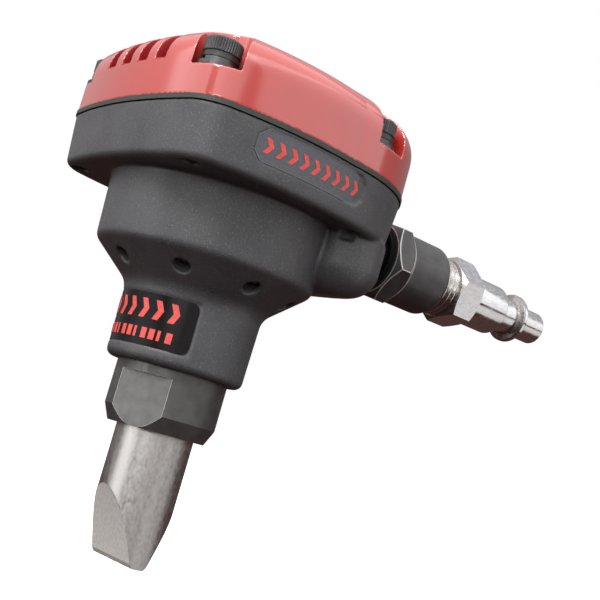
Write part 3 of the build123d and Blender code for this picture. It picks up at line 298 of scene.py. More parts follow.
def head_outline():
    """The head's closed outline, anticlockwise from the rear left."""
    apart = SIDE_CENTRE - FRONT_CENTRE
    reach_front, reach_side = FRONT_R - CORNER_FILLET, SIDE_R - CORNER_FILLET
    along = (reach_front**2 - reach_side**2 + apart.length_squared) / (2 * apart.length)
    across = math.sqrt(reach_front**2 - along**2)
    unit = apart.normalized()
    middle = FRONT_CENTRE + unit * along
    candidates = [middle + Vector((-unit.y, unit.x)) * s * across for s in (1, -1)]
    fillet = min(candidates, key=lambda c: (c - Vector(FRONT_CORNER)).length)
    on_side = fillet + (fillet - SIDE_CENTRE).normalized() * CORNER_FILLET
    on_front = fillet + (fillet - FRONT_CENTRE).normalized() * CORNER_FILLET
    join = Vector(REAR_JOIN)
    flip = Vector((1, -1))
    left = arc(SIDE_CENTRE, join, on_side, 36) + arc(fillet, on_side, on_front, 24)
    front = arc(FRONT_CENTRE, on_front, on_front * flip, 48)
    right = arc(fillet * flip, on_front * flip, on_side * flip, 24)
    right += arc(SIDE_CENTRE * flip, on_side * flip, join * flip, 36)
    tail = Vector((REAR_X, 0))
    rear = arc(REAR_CENTRE, join * flip, tail, 48) + arc(REAR_CENTRE, tail, join, 48)
    return left + front + right + rear


def flank(x, z, out):
    """A point on the flange's right side, a distance out from its drafted surface."""
    shrink = 1 - FLANGE_DRAFT * (BODY_TOP_Z - z) / (BODY_TOP_Z - FLANGE_BOTTOM_Z) / SIDE_MIDDLE[1]
    y = SIDE_CENTRE.y + math.sqrt(SIDE_R**2 - (x / shrink - SIDE_CENTRE.x) ** 2)
    return (x, -y * shrink - out, z)


def neck(turn, z, out):
    """A point on the neck, turn degrees from the front, a distance out from its drafted surface."""
    height, draft = NECK_TOP_Z - NECK_BOTTOM_Z, NECK_R_HIGH - NECK_R_LOW
    r = NECK_R_LOW + draft * (z - NECK_BOTTOM_Z) / height + out
    a = math.radians(180 + turn)
    return (r * math.cos(a), r * math.sin(a), z)


# ------------------------------------------------------------------ materials
def material(name, colour, roughness, metallic=0.0, **sockets):
    """A Principled material with uniform values on its own sockets."""
    mat = bpy.data.materials.new(name)
    mat.use_nodes = True
    shader = mat.node_tree.nodes["Principled BSDF"]
    shader.inputs["Base Color"].default_value = (*colour, 1)
    shader.inputs["Roughness"].default_value = roughness
    shader.inputs["Metallic"].default_value = metallic
    for key, value in sockets.items():
        shader.inputs[key.replace("_", " ")].default_value = value
    return mat


def noise(mat, scale, stretch=(1, 1, 1), detail=2.0):
    """A noise texture in object coordinates. scale is features per metre."""
    nodes, links = mat.node_tree.nodes, mat.node_tree.links
    place, mapping = nodes.new("ShaderNodeTexCoord"), nodes.new("ShaderNodeMapping")
    mapping.inputs["Scale"].default_value = stretch
    tex = nodes.new("ShaderNodeTexNoise")
    tex.inputs["Scale"].default_value = scale
    tex.inputs["Detail"].default_value = detail
    links.new(place.outputs["Object"], mapping.inputs["Vector"])
    links.new(mapping.outputs["Vector"], tex.inputs["Vector"])
    return tex.outputs[0]


def ramp(mat, source, low, high, start=0.35, end=0.65):
    """Maps a grey value between start and end to two colours or two numbers."""
    node = mat.node_tree.nodes.new("ShaderNodeValToRGB")
    pair = [c if isinstance(c, tuple) else (c, c, c) for c in (low, high)]
    for element, at, colour in zip(node.color_ramp.elements, (start, end), pair):
        element.position, element.color = at, (*colour, 1)
    mat.node_tree.links.new(source, node.inputs["Fac"])
    return node.outputs["Color"]


def blend_colour(mat, factor, a, b):
    """Mixes two colour outputs by a grey output."""
    node = mat.node_tree.nodes.new("ShaderNodeMix")
    node.data_type = "RGBA"
    links = mat.node_tree.links
    links.new(factor, node.inputs["Factor"])
    for key, value in (("A", a), ("B", b)):
        socket = [s for s in node.inputs if s.name == key and s.type == "RGBA"][0]
        if isinstance(value, tuple):
            socket.default_value = (*value, 1)
        else:
            links.new(value, socket)
    return [s for s in node.outputs if s.type == "RGBA"][0]


def drive(mat, socket, source):
    mat.node_tree.links.new(source, mat.node_tree.nodes["Principled BSDF"].inputs[socket])


def bump(mat, source, distance, strength, onto=None):
    """Adds a bump, in millimetres of height, on top of an earlier one."""
    node = mat.node_tree.nodes.new("ShaderNodeBump")
    node.inputs["Distance"].default_value = distance * MM
    node.inputs["Strength"].default_value = strength
    mat.node_tree.links.new(source, node.inputs["Height"])
    if onto:
        mat.node_tree.links.new(onto, node.inputs["Normal"])
    drive(mat, "Normal", node.outputs["Normal"])
    return node.outputs["Normal"]


def painted_casting():
    """Charcoal powder paint: a pebbled skin with fine bright flecks."""
    mat = material("housing_paint", (0.070, 0.070, 0.076), 0.46)
    cloud = noise(mat, 130, detail=4.0)
    base = ramp(mat, cloud, (0.050, 0.051, 0.055), (0.070, 0.071, 0.075), 0.3, 0.7)
    fleck = noise(mat, 3600)
    mask = ramp(mat, fleck, 0.0, 1.0, 0.56, 0.74)
    drive(mat, "Base Color", blend_colour(mat, mask, base, (0.125, 0.126, 0.130)))
    drive(mat, "Roughness", ramp(mat, fleck, 0.52, 0.34, 0.35, 0.75))
    pebble = bump(mat, noise(mat, 1700), 0.05, 0.6)
    bump(mat, noise(mat, 420, detail=1.0), 0.06, 0.35, onto=pebble)
    return mat


def gloss_red():
    """Red gloss enamel under a clear coat, with faint orange peel."""
    coat = {"Coat_Weight": 1.0, "Coat_Roughness": 0.12, "Coat_IOR": 1.9}
    mat = material("cap_paint", (0.49, 0.022, 0.012), 0.38, **coat)
    cloud = noise(mat, 60, detail=3.0)
    drive(mat, "Base Color", ramp(mat, cloud, (0.46, 0.020, 0.011), (0.52, 0.024, 0.014), 0.3, 0.7))
    bump(mat, noise(mat, 260, detail=1.0), 0.02, 0.12)
    return mat


def black_oxide(name, colour, roughness, stretch=(1, 1, 1)):
    """Blackened machined steel: mottled, with fine tool marks."""
    mat = material(name, colour, roughness, 0.55)
    cloud = noise(mat, 380, detail=5.0)
    darker, lighter = tuple(0.85 * c for c in colour), tuple(1.20 * c for c in colour)
    drive(mat, "Base Color", ramp(mat, cloud, darker, lighter, 0.3, 0.72))
    marks = noise(mat, 1400, stretch, detail=1.0)
    drive(mat, "Roughness", ramp(mat, marks, roughness - 0.06, roughness + 0.10, 0.3, 0.7))
    bump(mat, marks, 0.003, 0.3)
    return mat


def steel(name, colour, roughness, stretch=(1, 1, 1), scale=1600, depth=0.010, metallic=1.0):
    """Bare or plated metal with fine directional marks."""
    mat = material(name, colour, roughness, metallic)
    marks = noise(mat, scale, stretch, detail=1.5)
    low, high = tuple(0.86 * c for c in colour), tuple(min(1.0, 1.10 * c) for c in colour)
    drive(mat, "Base Color", ramp(mat, marks, low, high, 0.3, 0.7))
    drive(mat, "Roughness", ramp(mat, marks, max(0.04, roughness - 0.07), roughness + 0.08, 0.3, 0.7))
    bump(mat, marks, depth, 0.5)
    return mat


def moulded(name, colour, roughness, **sockets):
    """Rubber or plastic with a fine even grain."""
    mat = material(name, colour, roughness, **sockets)
    grain = noise(mat, 2200)
    low, high = tuple(0.85 * c for c in colour), tuple(1.15 * c for c in colour)
    drive(mat, "Base Color", ramp(mat, grain, low, high, 0.3, 0.7))
    bump(mat, grain, 0.02, 0.3)
    return mat


HOUSING_PAINT = painted_casting()
CAP_PAINT = gloss_red()
# Painted shade: a darker, less glossy red for the insides of the cap's slots, where shade falls.
SLOT_PAINTED_SHADE = moulded("slot_red_painted_shade", (0.30, 0.006, 0.008), 0.45)
NUT_BLACK = black_oxide("nut_black", (0.090, 0.090, 0.089), 0.36)
# Painted highlight: a lighter copy of the nut's black oxide for its two wrench flats.
FLAT_PAINTED_HIGHLIGHT = black_oxide("nut_flat_painted_highlight", (0.125, 0.125, 0.124), 0.34, (1, 1, 3))
ADAPTER_BLACK = black_oxide("adapter_black", (0.085, 0.083, 0.084), 0.40, (0.12, 1, 1))
SCREW_BLACK = black_oxide("screw_black", (0.055, 0.058, 0.058), 0.36)
# Bright steel on bevelled edges: partly wear through the black finish, partly painted edge highlight.
WORN_EDGE_AND_HIGHLIGHT = steel("worn_edge_and_highlight", (0.62, 0.61, 0.59), 0.40, metallic=0.4)
BIT_STEEL = steel("bit_steel", (0.44, 0.432, 0.42), 0.36, (1, 1, 0.6), 1900, 0.003)
GROUND_STEEL = steel("ground_steel", (0.70, 0.69, 0.66), 0.55, (1, 1, 0.5), 2600, 0.004, 0.35)
NICKEL = steel("bright_nickel", (0.74, 0.74, 0.75), 0.16, (0.35, 1, 1), 1800, 0.0015)
# Painted shade: a darker nickel for plug faces that would mirror the black barrel and body.
NICKEL_PAINTED_SHADE = steel("nickel_painted_shade", (0.30, 0.28, 0.27), 0.30, (0.2, 1, 1), 1400, 0.004)
WASHER_STEEL = steel("washer_steel", (0.10, 0.10, 0.10), 0.38)
WIRE_STEEL = steel("wire_steel", (0.42, 0.42, 0.43), 0.26)
ALUMINIUM = steel("turned_aluminium", (0.72, 0.73, 0.74), 0.28, (1, 1, 6), 700)
BRONZE = steel("sintered_bronze", (0.50, 0.36, 0.20), 0.55, (1, 1, 1), 1800, 0.04)
BRASS = steel("turned_brass", (0.72, 0.53, 0.24), 0.26, (1, 1, 6), 700)
SEAL_RUBBER = moulded("seal_rubber", (0.020, 0.020, 0.020), 0.48)
GASKET_RUBBER = moulded("gasket_rubber", (0.030, 0.036, 0.031), 0.50)
BUMPER_RUBBER = moulded("bumper_rubber", (0.035, 0.035, 0.036), 0.60)
RING_PLASTIC = moulded("ring_plastic", (0.78, 0.75, 0.68), 0.45)
VALVE_PLASTIC = moulded("valve_plastic", (0.09, 0.09, 0.10), 0.35)
LABEL_BLACK = moulded("label_black", (0.010, 0.009, 0.010), 0.20, Specular_IOR_Level=0.09)
PLATE_GREY = moulded("plate_grey", (0.088, 0.095, 0.108), 0.40)
MARK_RED = moulded("mark_red", (0.72, 0.075, 0.060), 0.38)
RIM_GREY = steel("plate_rim", (0.20, 0.205, 0.21), 0.42)
# Painted shade: a near-black, barely glossy finish for the swivel stem and thrust washer in the gap
# between body and hex.
PAINTED_SHADE_BLACK = moulded("gap_painted_shade_black", (0.006, 0.006, 0.006), 0.80, Specular_IOR_Level=0.10)

for node, mat in {
    "cap_gasket": GASKET_RUBBER,
    "cap_flat_washers": WASHER_STEEL,
    "cap_lock_washers": WASHER_STEEL,
    "cylinder_sleeve": ALUMINIUM,
    "sleeve_o_ring_upper": SEAL_RUBBER,
    "sleeve_o_ring_lower": SEAL_RUBBER,
    "piston": ALUMINIUM,
    "piston_ring": RING_PLASTIC,
    "driver_rod": WIRE_STEEL,
    "piston_bumper": BUMPER_RUBBER,
    "driver_guide_bushing": BRASS,
    "rod_seal": SEAL_RUBBER,
    "bit_o_ring": SEAL_RUBBER,
    "valve_seat_plate": ALUMINIUM,
    "valve_disc": VALVE_PLASTIC,
    "valve_cage": ALUMINIUM,
    "cap_bumper": BUMPER_RUBBER,
    "exhaust_muffler": BRONZE,
    "inlet_screen": BRASS,
    "swivel_stem": PAINTED_SHADE_BLACK,
    "swivel_stem_o_rings": SEAL_RUBBER,
    "swivel_snap_ring": WIRE_STEEL,
    "swivel_thrust_washer": PAINTED_SHADE_BLACK,
}.items():
    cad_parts[node].data.materials.clear()
    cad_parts[node].data.materials.append(mat)


def finish_piece(obj, body, node, slot, *materials):
    """Gives a piece its materials and its body, and hides the CAD node it stands for. The record slot is
    not used.
    """
    for index, mat in enumerate(materials):
        if index < len(obj.data.materials):
            obj.data.materials[index] = mat
        else:
            obj.data.materials.append(mat)
    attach(obj, body)
    if node:
        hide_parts(node)
    return obj


def recolour(obj, material_index, chosen):
    """Gives the chosen faces another of the piece's materials. chosen(spot, normal) has spot in mm."""
    for face in obj.data.polygons:
        if chosen(face.center / MM, face.normal):
            face.material_index = material_index


# ------------------------------------------------------------------ housing
# The CAD casting with its edges relaxed, as paint and casting round them.
housing = add_object("housing_shell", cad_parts["body_housing"].data.copy())
cast_soft(housing, 0.32, 3)
finish_piece(housing, "housing", "body_housing", "housing_paint", HOUSING_PAINT)


# ------------------------------------------------------------------ cap
def cap_shell():
    outline = head_outline()
    bm = bmesh.new()
    levels = [(1.0, CAP_BOTTOM_Z), (1.0, (CAP_BOTTOM_Z + SKIRT_TOP_Z) / 2), (1.0, SKIRT_TOP_Z)]
    for k in range(1, DOME_STEPS):
        a = math.pi / 2 * (k / DOME_STEPS) ** DOME_SPACING
        levels.append((math.cos(a) ** DOME_POWER, SKIRT_TOP_Z + DOME_H * math.sin(a) ** DOME_POWER))
    rings = [[bm.verts.new((x * s, y * s, z)) for x, y in outline] for s, z in levels]
    crown = bm.verts.new((0, 0, SKIRT_TOP_Z + DOME_H))
    count = len(outline)
    for lower, upper in zip(rings, rings[1:]):
        for i in range(count):
            j = (i + 1) % count
            bm.faces.new((lower[i], lower[j], upper[j], upper[i]))
    for i in range(count):
        bm.faces.new((rings[-1][i], rings[-1][(i + 1) % count], crown))
    bm.faces.new(rings[0][::-1])
    return from_bmesh("cap_shell", bm)


def pocket_outline(x, y, opening):
    """A slot as wide as a screw pocket, round at the screw and open outwards."""
    half = POCKET_W / 2
    around_screw = [math.radians(90 + 9 * k) for k in range(21)]
    points = [(POCKET_REACH, -half), (POCKET_REACH, half)]
    points += [(half * math.cos(t), half * math.sin(t)) for t in around_screw]
    turn = Matrix.Rotation(math.radians(opening), 2)
    return [tuple(turn @ Vector(p) + Vector((x, y))) for p in points]


cap = cap_shell()
over_cap, under_cap = SKIRT_TOP_Z + DOME_H + 2, CAP_BOTTOM_Z - HOLE_OVERRUN
for x, y, opening in SCREWS:
    pocket = extruded("pocket", pocket_outline(x, y, opening), POCKET_FLOOR_Z, over_cap)
    boolean(cap, pocket, "DIFFERENCE")
    hole_top = POCKET_FLOOR_Z + HOLE_OVERRUN
    hole = [(0, under_cap), (HOLE_R, under_cap), (HOLE_R, hole_top), (0, hole_top)]
    boolean(cap, lathe("hole", hole, centre=(x, y), segments=32), "DIFFERENCE")
for near_x, far_x in VENT_ENDS:
    for index in range(VENT_COUNT):
        y = (index - (VENT_COUNT - 1) / 2) * VENT_PITCH
        low_y, high_y = y - VENT_W / 2, y + VENT_W / 2
        sides = [(near_x, low_y), (far_x, low_y), (far_x, high_y), (near_x, high_y)]
        boolean(cap, extruded("vent", sides, VENT_FLOOR_Z, over_cap), "DIFFERENCE")
cavity = [(0, under_cap), (CAVITY_R, under_cap), (CAVITY_R, CEILING_Z)]
cavity += [(BUMPER_RECESS_R, CEILING_Z), (BUMPER_RECESS_R, BUMPER_TOP_Z), (0, BUMPER_TOP_Z)]
boolean(cap, lathe("cavity", cavity, segments=96), "DIFFERENCE")
cast_soft(cap, 0.20, 2)
finish_piece(cap, "housing", "top_cap", "cap_paint", CAP_PAINT, SLOT_PAINTED_SHADE)


def in_vent(spot, normal):
    """Whether a face of the cap is the inside of a cooling slot."""
    row = (spot.y / VENT_PITCH + (VENT_COUNT - 1) / 2) % 1
    off = min(row, 1 - row) * VENT_PITCH
    in_row = abs(spot.y) < VENT_COUNT / 2 * VENT_PITCH and off < VENT_W / 2 + VENT_SIDE_MARGIN
    along = spot.x < VENT_ENDS[0][1] or spot.x > VENT_ENDS[1][0]
    return in_row and along and spot.z > VENT_FLOOR_Z - VENT_FLOOR_MARGIN


# Painted shade: the faces inside the slots take the darker red.
recolour(cap, 1, in_vent)


# ------------------------------------------------------------------ cap screws
def knurl(height, k):
    """Fine straight knurl on the head's upper part: four mesh columns to each tooth."""
    if HEAD_BOTTOM_Z + KNURL_FROM < height < HEAD_BOTTOM_Z + HEAD_H - KNURL_TO:
        return KNURL_RIPPLE[k % len(KNURL_RIPPLE)]
    return 0.0


def screw_head(x, y):
    low, top = HEAD_BOTTOM_Z, HEAD_BOTTOM_Z + HEAD_H
    tip = low - SHANK_LENGTH
    profile = [(0, tip), (SHANK_R - SHANK_CHAMFER, tip), (SHANK_R, tip + SHANK_CHAMFER), (SHANK_R, low)]
    profile += [(HEAD_R - inset, low + up) for inset, up in HEAD_FOOT]
    profile += [(HEAD_R - inset, top - down) for inset, down in HEAD_CROWN]
    profile += [(SOCKET_AF / 2 + SOCKET_RIM, top), (0, top)]
    columns = len(KNURL_RIPPLE) * KNURL_TEETH
    head = lathe("screw", profile, centre=(x, y), segments=columns, ripple=knurl)
    socket = extruded("socket", hexagon(SOCKET_AF, SOCKET_TURN, (x, y)), top - SOCKET_DEPTH, top + 1)
    return boolean(head, socket, "DIFFERENCE")


def joined(name, parts):
    """One object from several, which it removes."""
    bm = bmesh.new()
    for part in parts:
        bm.from_mesh(part.data)
        bpy.data.objects.remove(part)
    mesh = bpy.data.meshes.new(name)
    bm.to_mesh(mesh)
    bm.free()
    return add_object(name, mesh)


screws = smooth(joined("cap_screws_knurled", [screw_head(x, y) for x, y, _ in SCREWS]), 24)
finish_piece(screws, "housing", "cap_screws", "screw_steel", SCREW_BLACK)

# ------------------------------------------------------------------ retainer nut
mouth_r = BIT_R + SLIDE_GAP
nut_profile = [(mouth_r, NUT_BOTTOM_Z), (NUT_CONE_R, NUT_BOTTOM_Z), (NUT_R, NUT_CONE_Z)]
nut_profile += [(NUT_R, NUT_TOP_Z), (NUT_SPIGOT_R, NUT_TOP_Z), (NUT_SPIGOT_R, NUT_SPIGOT_TOP_Z)]
nut_profile += [(NUT_BORE_R, NUT_SPIGOT_TOP_Z), (NUT_BORE_R, NUT_SEAT_Z), (mouth_r, NUT_SEAT_Z)]
nut = lathe("retainer_nut", nut_profile)
for side in (0, 180):
    turn = Matrix.Rotation(math.radians(NUT_FLAT_TURN + side), 2)
    near, far = NUT_FLAT_APOTHEM, NUT_CUTTER
    corners = [(near, -far), (far, -far), (far, far), (near, far)]
    flat = [tuple(turn @ Vector(p)) for p in corners]
    boolean(nut, extruded("flat", flat, NUT_BOTTOM_Z - 1, NUT_FLAT_TOP_Z), "DIFFERENCE")
nut.data.materials.append(NUT_BLACK)
nut.data.materials.append(WORN_EDGE_AND_HIGHLIGHT)
break_edges(nut, NUT_EDGE_BREAK, 1)
finish_piece(nut, "housing", "bit_retainer_nut", "nut_steel", NUT_BLACK, WORN_EDGE_AND_HIGHLIGHT, FLAT_PAINTED_HIGHLIGHT)
flat_facing = Matrix.Rotation(math.radians(NUT_FLAT_TURN), 3, "Z") @ Vector((1, 0, 0))
# Painted highlight: the two wrench flats take the lighter black oxide.
recolour(nut, 2, lambda spot, normal: abs(normal.dot(flat_facing)) > 0.999 and spot.length > BIT_R)

# ------------------------------------------------------------------ flooring bit
ring_low, ring_high = BIT_RING_Z - BIT_RING_HALF, BIT_RING_Z + BIT_RING_HALF
bit_profile = [(0, 0), (BIT_R, 0), (BIT_R, BIT_COLLAR_Z), (BIT_COLLAR_R, BIT_COLLAR_Z)]
bit_profile += [(BIT_COLLAR_R, ring_low), (BIT_RING_R, ring_low), (BIT_RING_R, ring_high)]
bit_profile += [(BIT_COLLAR_R, ring_high), (BIT_COLLAR_R, BIT_LENGTH), (0, BIT_LENGTH)]
bit = lathe("flooring_bit_ground", bit_profile, segments=160)
for side in (1, -1):
    grind = []
    for k in range(17):
        t = k / 16
        bow = 4 * t * (1 - t) * BIT_HOLLOW
        grind.append((side * (BIT_EDGE_HALF + t * (BIT_R - BIT_EDGE_HALF) - bow), t * BIT_GRIND_Z))
    blunt = side * (BIT_EDGE_HALF - BIT_EDGE_CHAMFER)
    away = side * BIT_CUTTER
    grind = [(blunt, -1), (blunt, 0)] + grind[1:] + [(away, BIT_GRIND_Z + 0.6), (away, -1)]
    boolean(bit, extruded("grind", grind, -BIT_CUTTER, BIT_CUTTER, "Y"), "DIFFERENCE")
bit.data.materials.append(BIT_STEEL)
break_edges(bit, BIT_EDGE_BREAK)
# The bit's third material, the nut's black, is painted shade on the blade end.
finish_piece(bit, "bit", "flooring_bit", "bit_steel", BIT_STEEL, GROUND_STEEL, NUT_BLACK)


def on_grind(spot, normal):
    """Whether a face of the bit is on one of its two ground hollows."""
    inside = math.hypot(spot.x, spot.y) < BIT_R - 0.03
    return spot.z < BIT_GRIND_Z and abs(normal.x) > 0.75 and inside


# Painted shade: the blade end's downward-facing faces take the nut's black.
recolour(bit, 2, lambda spot, normal: spot.z < BIT_END_Z and normal.z < -0.3)
recolour(bit, 1, on_grind)


# ------------------------------------------------------------------ return spring
def spring_mesh():
    """A closed-wire coil that follows the CAD spring, with its ends welded shut."""
    low, high = (v.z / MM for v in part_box("bit_return_spring"))
    curve = bpy.data.curves.new("spring", "CURVE")
    curve.dimensions, curve.bevel_depth = "3D", SPRING_WIRE_R * MM
    curve.bevel_resolution, curve.use_fill_caps = 5, True
    per_turn = 40
    count = int(SPRING_TURNS * per_turn)
    line = curve.splines.new("POLY")
    line.points.add(count)
    for k in range(count + 1):
        a = 2 * math.pi * k / per_turn
        z = low + SPRING_WIRE_R + (high - low - 2 * SPRING_WIRE_R) * k / count
        line.points[k].co = (SPRING_R * math.cos(a) * MM, SPRING_R * math.sin(a) * MM, z * MM, 1)
    source = add_object("spring_source", curve)
    graph = bpy.context.evaluated_depsgraph_get()
    mesh = bpy.data.meshes.new_from_object(source.evaluated_get(graph))
    bpy.data.objects.remove(source)
    weld(mesh, 1e-3)
    return add_object("return_spring_coil", mesh)


spring = smooth(spring_mesh(), 60)
finish_piece(spring, "housing", "bit_return_spring", "spring_steel", WIRE_STEEL)
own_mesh(spring)

# ------------------------------------------------------------------ swivel barrel
inlet_axis = (0, INLET_Z)
hex_corner = corner_radius(BARREL_HEX_AF)
hex_profile = [(BARREL_NECK_BORE_R, BARREL_HEX_X), (BARREL_HEX_AF / 2 - BARREL_HEX_INSET, BARREL_HEX_X)]
hex_profile += [(hex_corner, BARREL_HEX_X + BARREL_HEX_CHAMFER)]
hex_profile += [(hex_corner, BARREL_HEX_END_X - BARREL_HEX_RUN)]
hex_profile += [(BARREL_R, BARREL_HEX_END_X), (BARREL_NECK_BORE_R, BARREL_HEX_END_X)]
barrel = lathe("swivel_barrel_black", hex_profile, "X", inlet_axis)
prism = hexagon(BARREL_HEX_AF, BARREL_HEX_TURN, inlet_axis)
boolean(barrel, extruded("hex", prism, BARREL_HEX_X - 1, BARREL_HEX_END_X + 1, "X"), "INTERSECT")
body_x = BARREL_HEX_END_X - BARREL_OVERLAP
body_profile = [(BARREL_BORE_R, body_x), (BARREL_R, body_x)]
for k in range(9):
    t = math.radians(90 * k / 8)
    radius = BARREL_R - BARREL_FILLET * (1 - math.cos(t))
    body_profile.append((radius, BARREL_END_X - BARREL_FILLET * (1 - math.sin(t))))
body_profile += [(BARREL_THREAD_R, BARREL_END_X), (BARREL_THREAD_R, BARREL_THREAD_X)]
body_profile += [(BARREL_BORE_R, BARREL_THREAD_X)]
boolean(barrel, lathe("round", body_profile, "X", inlet_axis), "UNION")
barrel.data.materials.append(ADAPTER_BLACK)
barrel.data.materials.append(WORN_EDGE_AND_HIGHLIGHT)
break_edges(barrel, BARREL_EDGE_BREAK, 1)
finish_piece(barrel, "swivel", "swivel_barrel", "adapter_steel", ADAPTER_BLACK, WORN_EDGE_AND_HIGHLIGHT)

# ------------------------------------------------------------------ air plug
plug_profile = [(PLUG_BORE_R, PLUG_BORE_X), (PLUG_TAPER_R[0], PLUG_BORE_X)]
plug_profile += [(PLUG_TAPER_R[1], BARREL_END_X - PLUG_TAPER_GAP)]
for k in range(THREAD_COUNT):
    start = BARREL_END_X + THREAD_PITCH * k
    plug_profile += [(THREAD_ROOT_R, start)] + [(THREAD_CREST_R, start + run) for run in THREAD_CREST]
plug_profile += [(THREAD_ROOT_R, BARREL_END_X + THREAD_COUNT * THREAD_PITCH)]
plug_profile += [(THREAD_ROOT_R, PLUG_TAIL[0][1])] + PLUG_TAIL
plug = lathe("air_plug_nickel", rounded(plug_profile, PLUG_EDGE_R), "X", inlet_axis)
plug_corner, plug_face = corner_radius(PLUG_HEX_AF), PLUG_HEX_AF / 2 - PLUG_HEX_INSET
plug_hex = [(PLUG_HEX_CORE_R, PLUG_HEX_X), (plug_face, PLUG_HEX_X)]
plug_hex += [(plug_corner, PLUG_HEX_X + PLUG_HEX_CHAMFER)]
plug_hex += [(plug_corner, PLUG_HEX_END_X - PLUG_HEX_CHAMFER)]
plug_hex += [(plug_face, PLUG_HEX_END_X), (PLUG_HEX_CORE_R, PLUG_HEX_END_X)]
collar = lathe("plug_hex", plug_hex, "X", inlet_axis)
prism = hexagon(PLUG_HEX_AF, PLUG_HEX_TURN, inlet_axis)
boolean(collar, extruded("hex", prism, PLUG_HEX_X - 1, PLUG_HEX_END_X + 1, "X"), "INTERSECT")
boolean(plug, collar, "UNION")
smooth(plug, 27)
finish_piece(plug, "swivel", "air_plug", "plug_nickel", NICKEL, NICKEL_PAINTED_SHADE)
# Painted shade: plug faces turned towards the barrel and body take the darker nickel, as a painted dark
# reflection.
recolour(plug, 1, lambda spot, normal: normal.x < -0.35 and spot.x > BARREL_END_X)


# ------------------------------------------------------------------ markings
def sheet_patch(name, surface, edges, across, steps, thickness, out):
    """A thin closed plate laid on a surface. edges(a) gives its lower and upper edge at a place."""
    bm = bmesh.new()
    rows = 8
    layers = []
    for depth in (out, out - thickness):
        grid = []
        for i in range(steps + 1):
            a = across[0] + (across[1] - across[0]) * i / steps
            low, high = edges(a)
            heights = [low + (high - low) * k / rows for k in range(rows + 1)]
            grid.append([bm.verts.new(surface(a, height, depth)) for height in heights])
        layers.append(grid)
    for grid in layers:
        for i in range(steps):
            for k in range(rows):
                bm.faces.new((grid[i][k], grid[i + 1][k], grid[i + 1][k + 1], grid[i][k + 1]))
    front, back = layers
    for i in range(steps):
        for k in (0, rows):
            bm.faces.new((front[i][k], front[i + 1][k], back[i + 1][k], back[i][k]))
    for k in range(rows):
        for i in (0, steps):
            bm.faces.new((front[i][k], front[i][k + 1], back[i][k + 1], back[i][k]))
    return from_bmesh(name, bm)


def stroke(bm, surface, start, end, width, lift):
    """One thin bar of a printed device, between the plain surface and the lift."""
    (a0, b0), (a1, b1) = start, end
    base = [(a0, b0), (a0 + width, b0), (a1 + width, b1), (a1, b1)]
    lower = [bm.verts.new(surface(a, b, 0.0)) for a, b in base]
    upper = [bm.verts.new(surface(a, b, lift)) for a, b in base]
    bm.faces.new(upper)
    bm.faces.new(lower[::-1])
    for i in range(4):
        j = (i + 1) % 4
        bm.faces.new((lower[i], lower[j], upper[j], upper[i]))


def chevron(bm, surface, start, heights, reach, width, lift):
    """Two bars that meet in a point. heights are those of the lower end, the point and the upper end."""
    low, middle, high = heights
    stroke(bm, surface, (start, low), (start + reach, middle), width, lift)
    stroke(bm, surface, (start + reach, middle), (start, high), width, lift)


def label_edges(turn):
    """Rounded corners for the neck label, measured along the neck's surface."""
    from_end = (LABEL_HALF_ANGLE - abs(turn)) * math.pi / 180 * NECK_R_HIGH
    inset = 0.0
    if from_end < LABEL_CORNER:
        inset = LABEL_CORNER - math.sqrt(max(0.0, LABEL_CORNER**2 - (LABEL_CORNER - from_end) ** 2))
    return LABEL_BOTTOM_Z + inset * LABEL_CORNER_RISE, LABEL_TOP_Z - inset * LABEL_CORNER_RISE


label_span = (-LABEL_HALF_ANGLE, LABEL_HALF_ANGLE)
label = sheet_patch("neck_label_gloss", neck, label_edges, label_span, 150, LABEL_THICKNESS, LABEL_OUT)
smooth(label)
finish_piece(label, "housing", "neck_label", "label_gloss", LABEL_BLACK)

bm = bmesh.new()
for index in range(LABEL_CHEVRONS):
    turn = LABEL_MARKS_START + LABEL_CHEVRON_STEP * index
    chevron(bm, neck, turn, LABEL_CHEVRON_Z, LABEL_CHEVRON_REACH, LABEL_CHEVRON_W, LABEL_MARK_LIFT)
wide, narrow = LABEL_BAR_W
for index in range(LABEL_BARS):
    turn = LABEL_MARKS_START + LABEL_BAR_STEP * index
    ends = [(turn, height) for height in LABEL_BAR_Z]
    stroke(bm, neck, *ends, wide if index % 3 else narrow, LABEL_MARK_LIFT)
device = from_bmesh("neck_label_device", bm)
finish_piece(device, "housing", None, "label_gloss", MARK_RED)


def plate_edges(x):
    """Clipped corners for the side plate."""
    from_end = min(x - PLATE_X[0], PLATE_X[1] - x)
    inset = max(0.0, PLATE_CORNER - from_end)
    return PLATE_Z[0] + inset, PLATE_Z[1] - inset


plate = sheet_patch("side_nameplate_smooth", flank, plate_edges, PLATE_X, 96, PLATE_THICKNESS, PLATE_OUT)
smooth(plate)
finish_piece(plate, "housing", "side_nameplate", "nameplate_paint", PLATE_GREY)


def plate_loop(inset):
    """The plate's eight corners, drawn in by an inset."""
    (x0, x1), (z0, z1), c = PLATE_X, PLATE_Z, PLATE_CORNER
    x0, x1, z0, z1 = x0 + inset, x1 - inset, z0 + inset, z1 - inset
    lower = [(x0 + c, z0), (x1 - c, z0), (x1, z0 + c)]
    upper = [(x1, z1 - c), (x1 - c, z1), (x0 + c, z1)]
    return lower + upper + [(x0, z1 - c), (x0, z0 + c)]


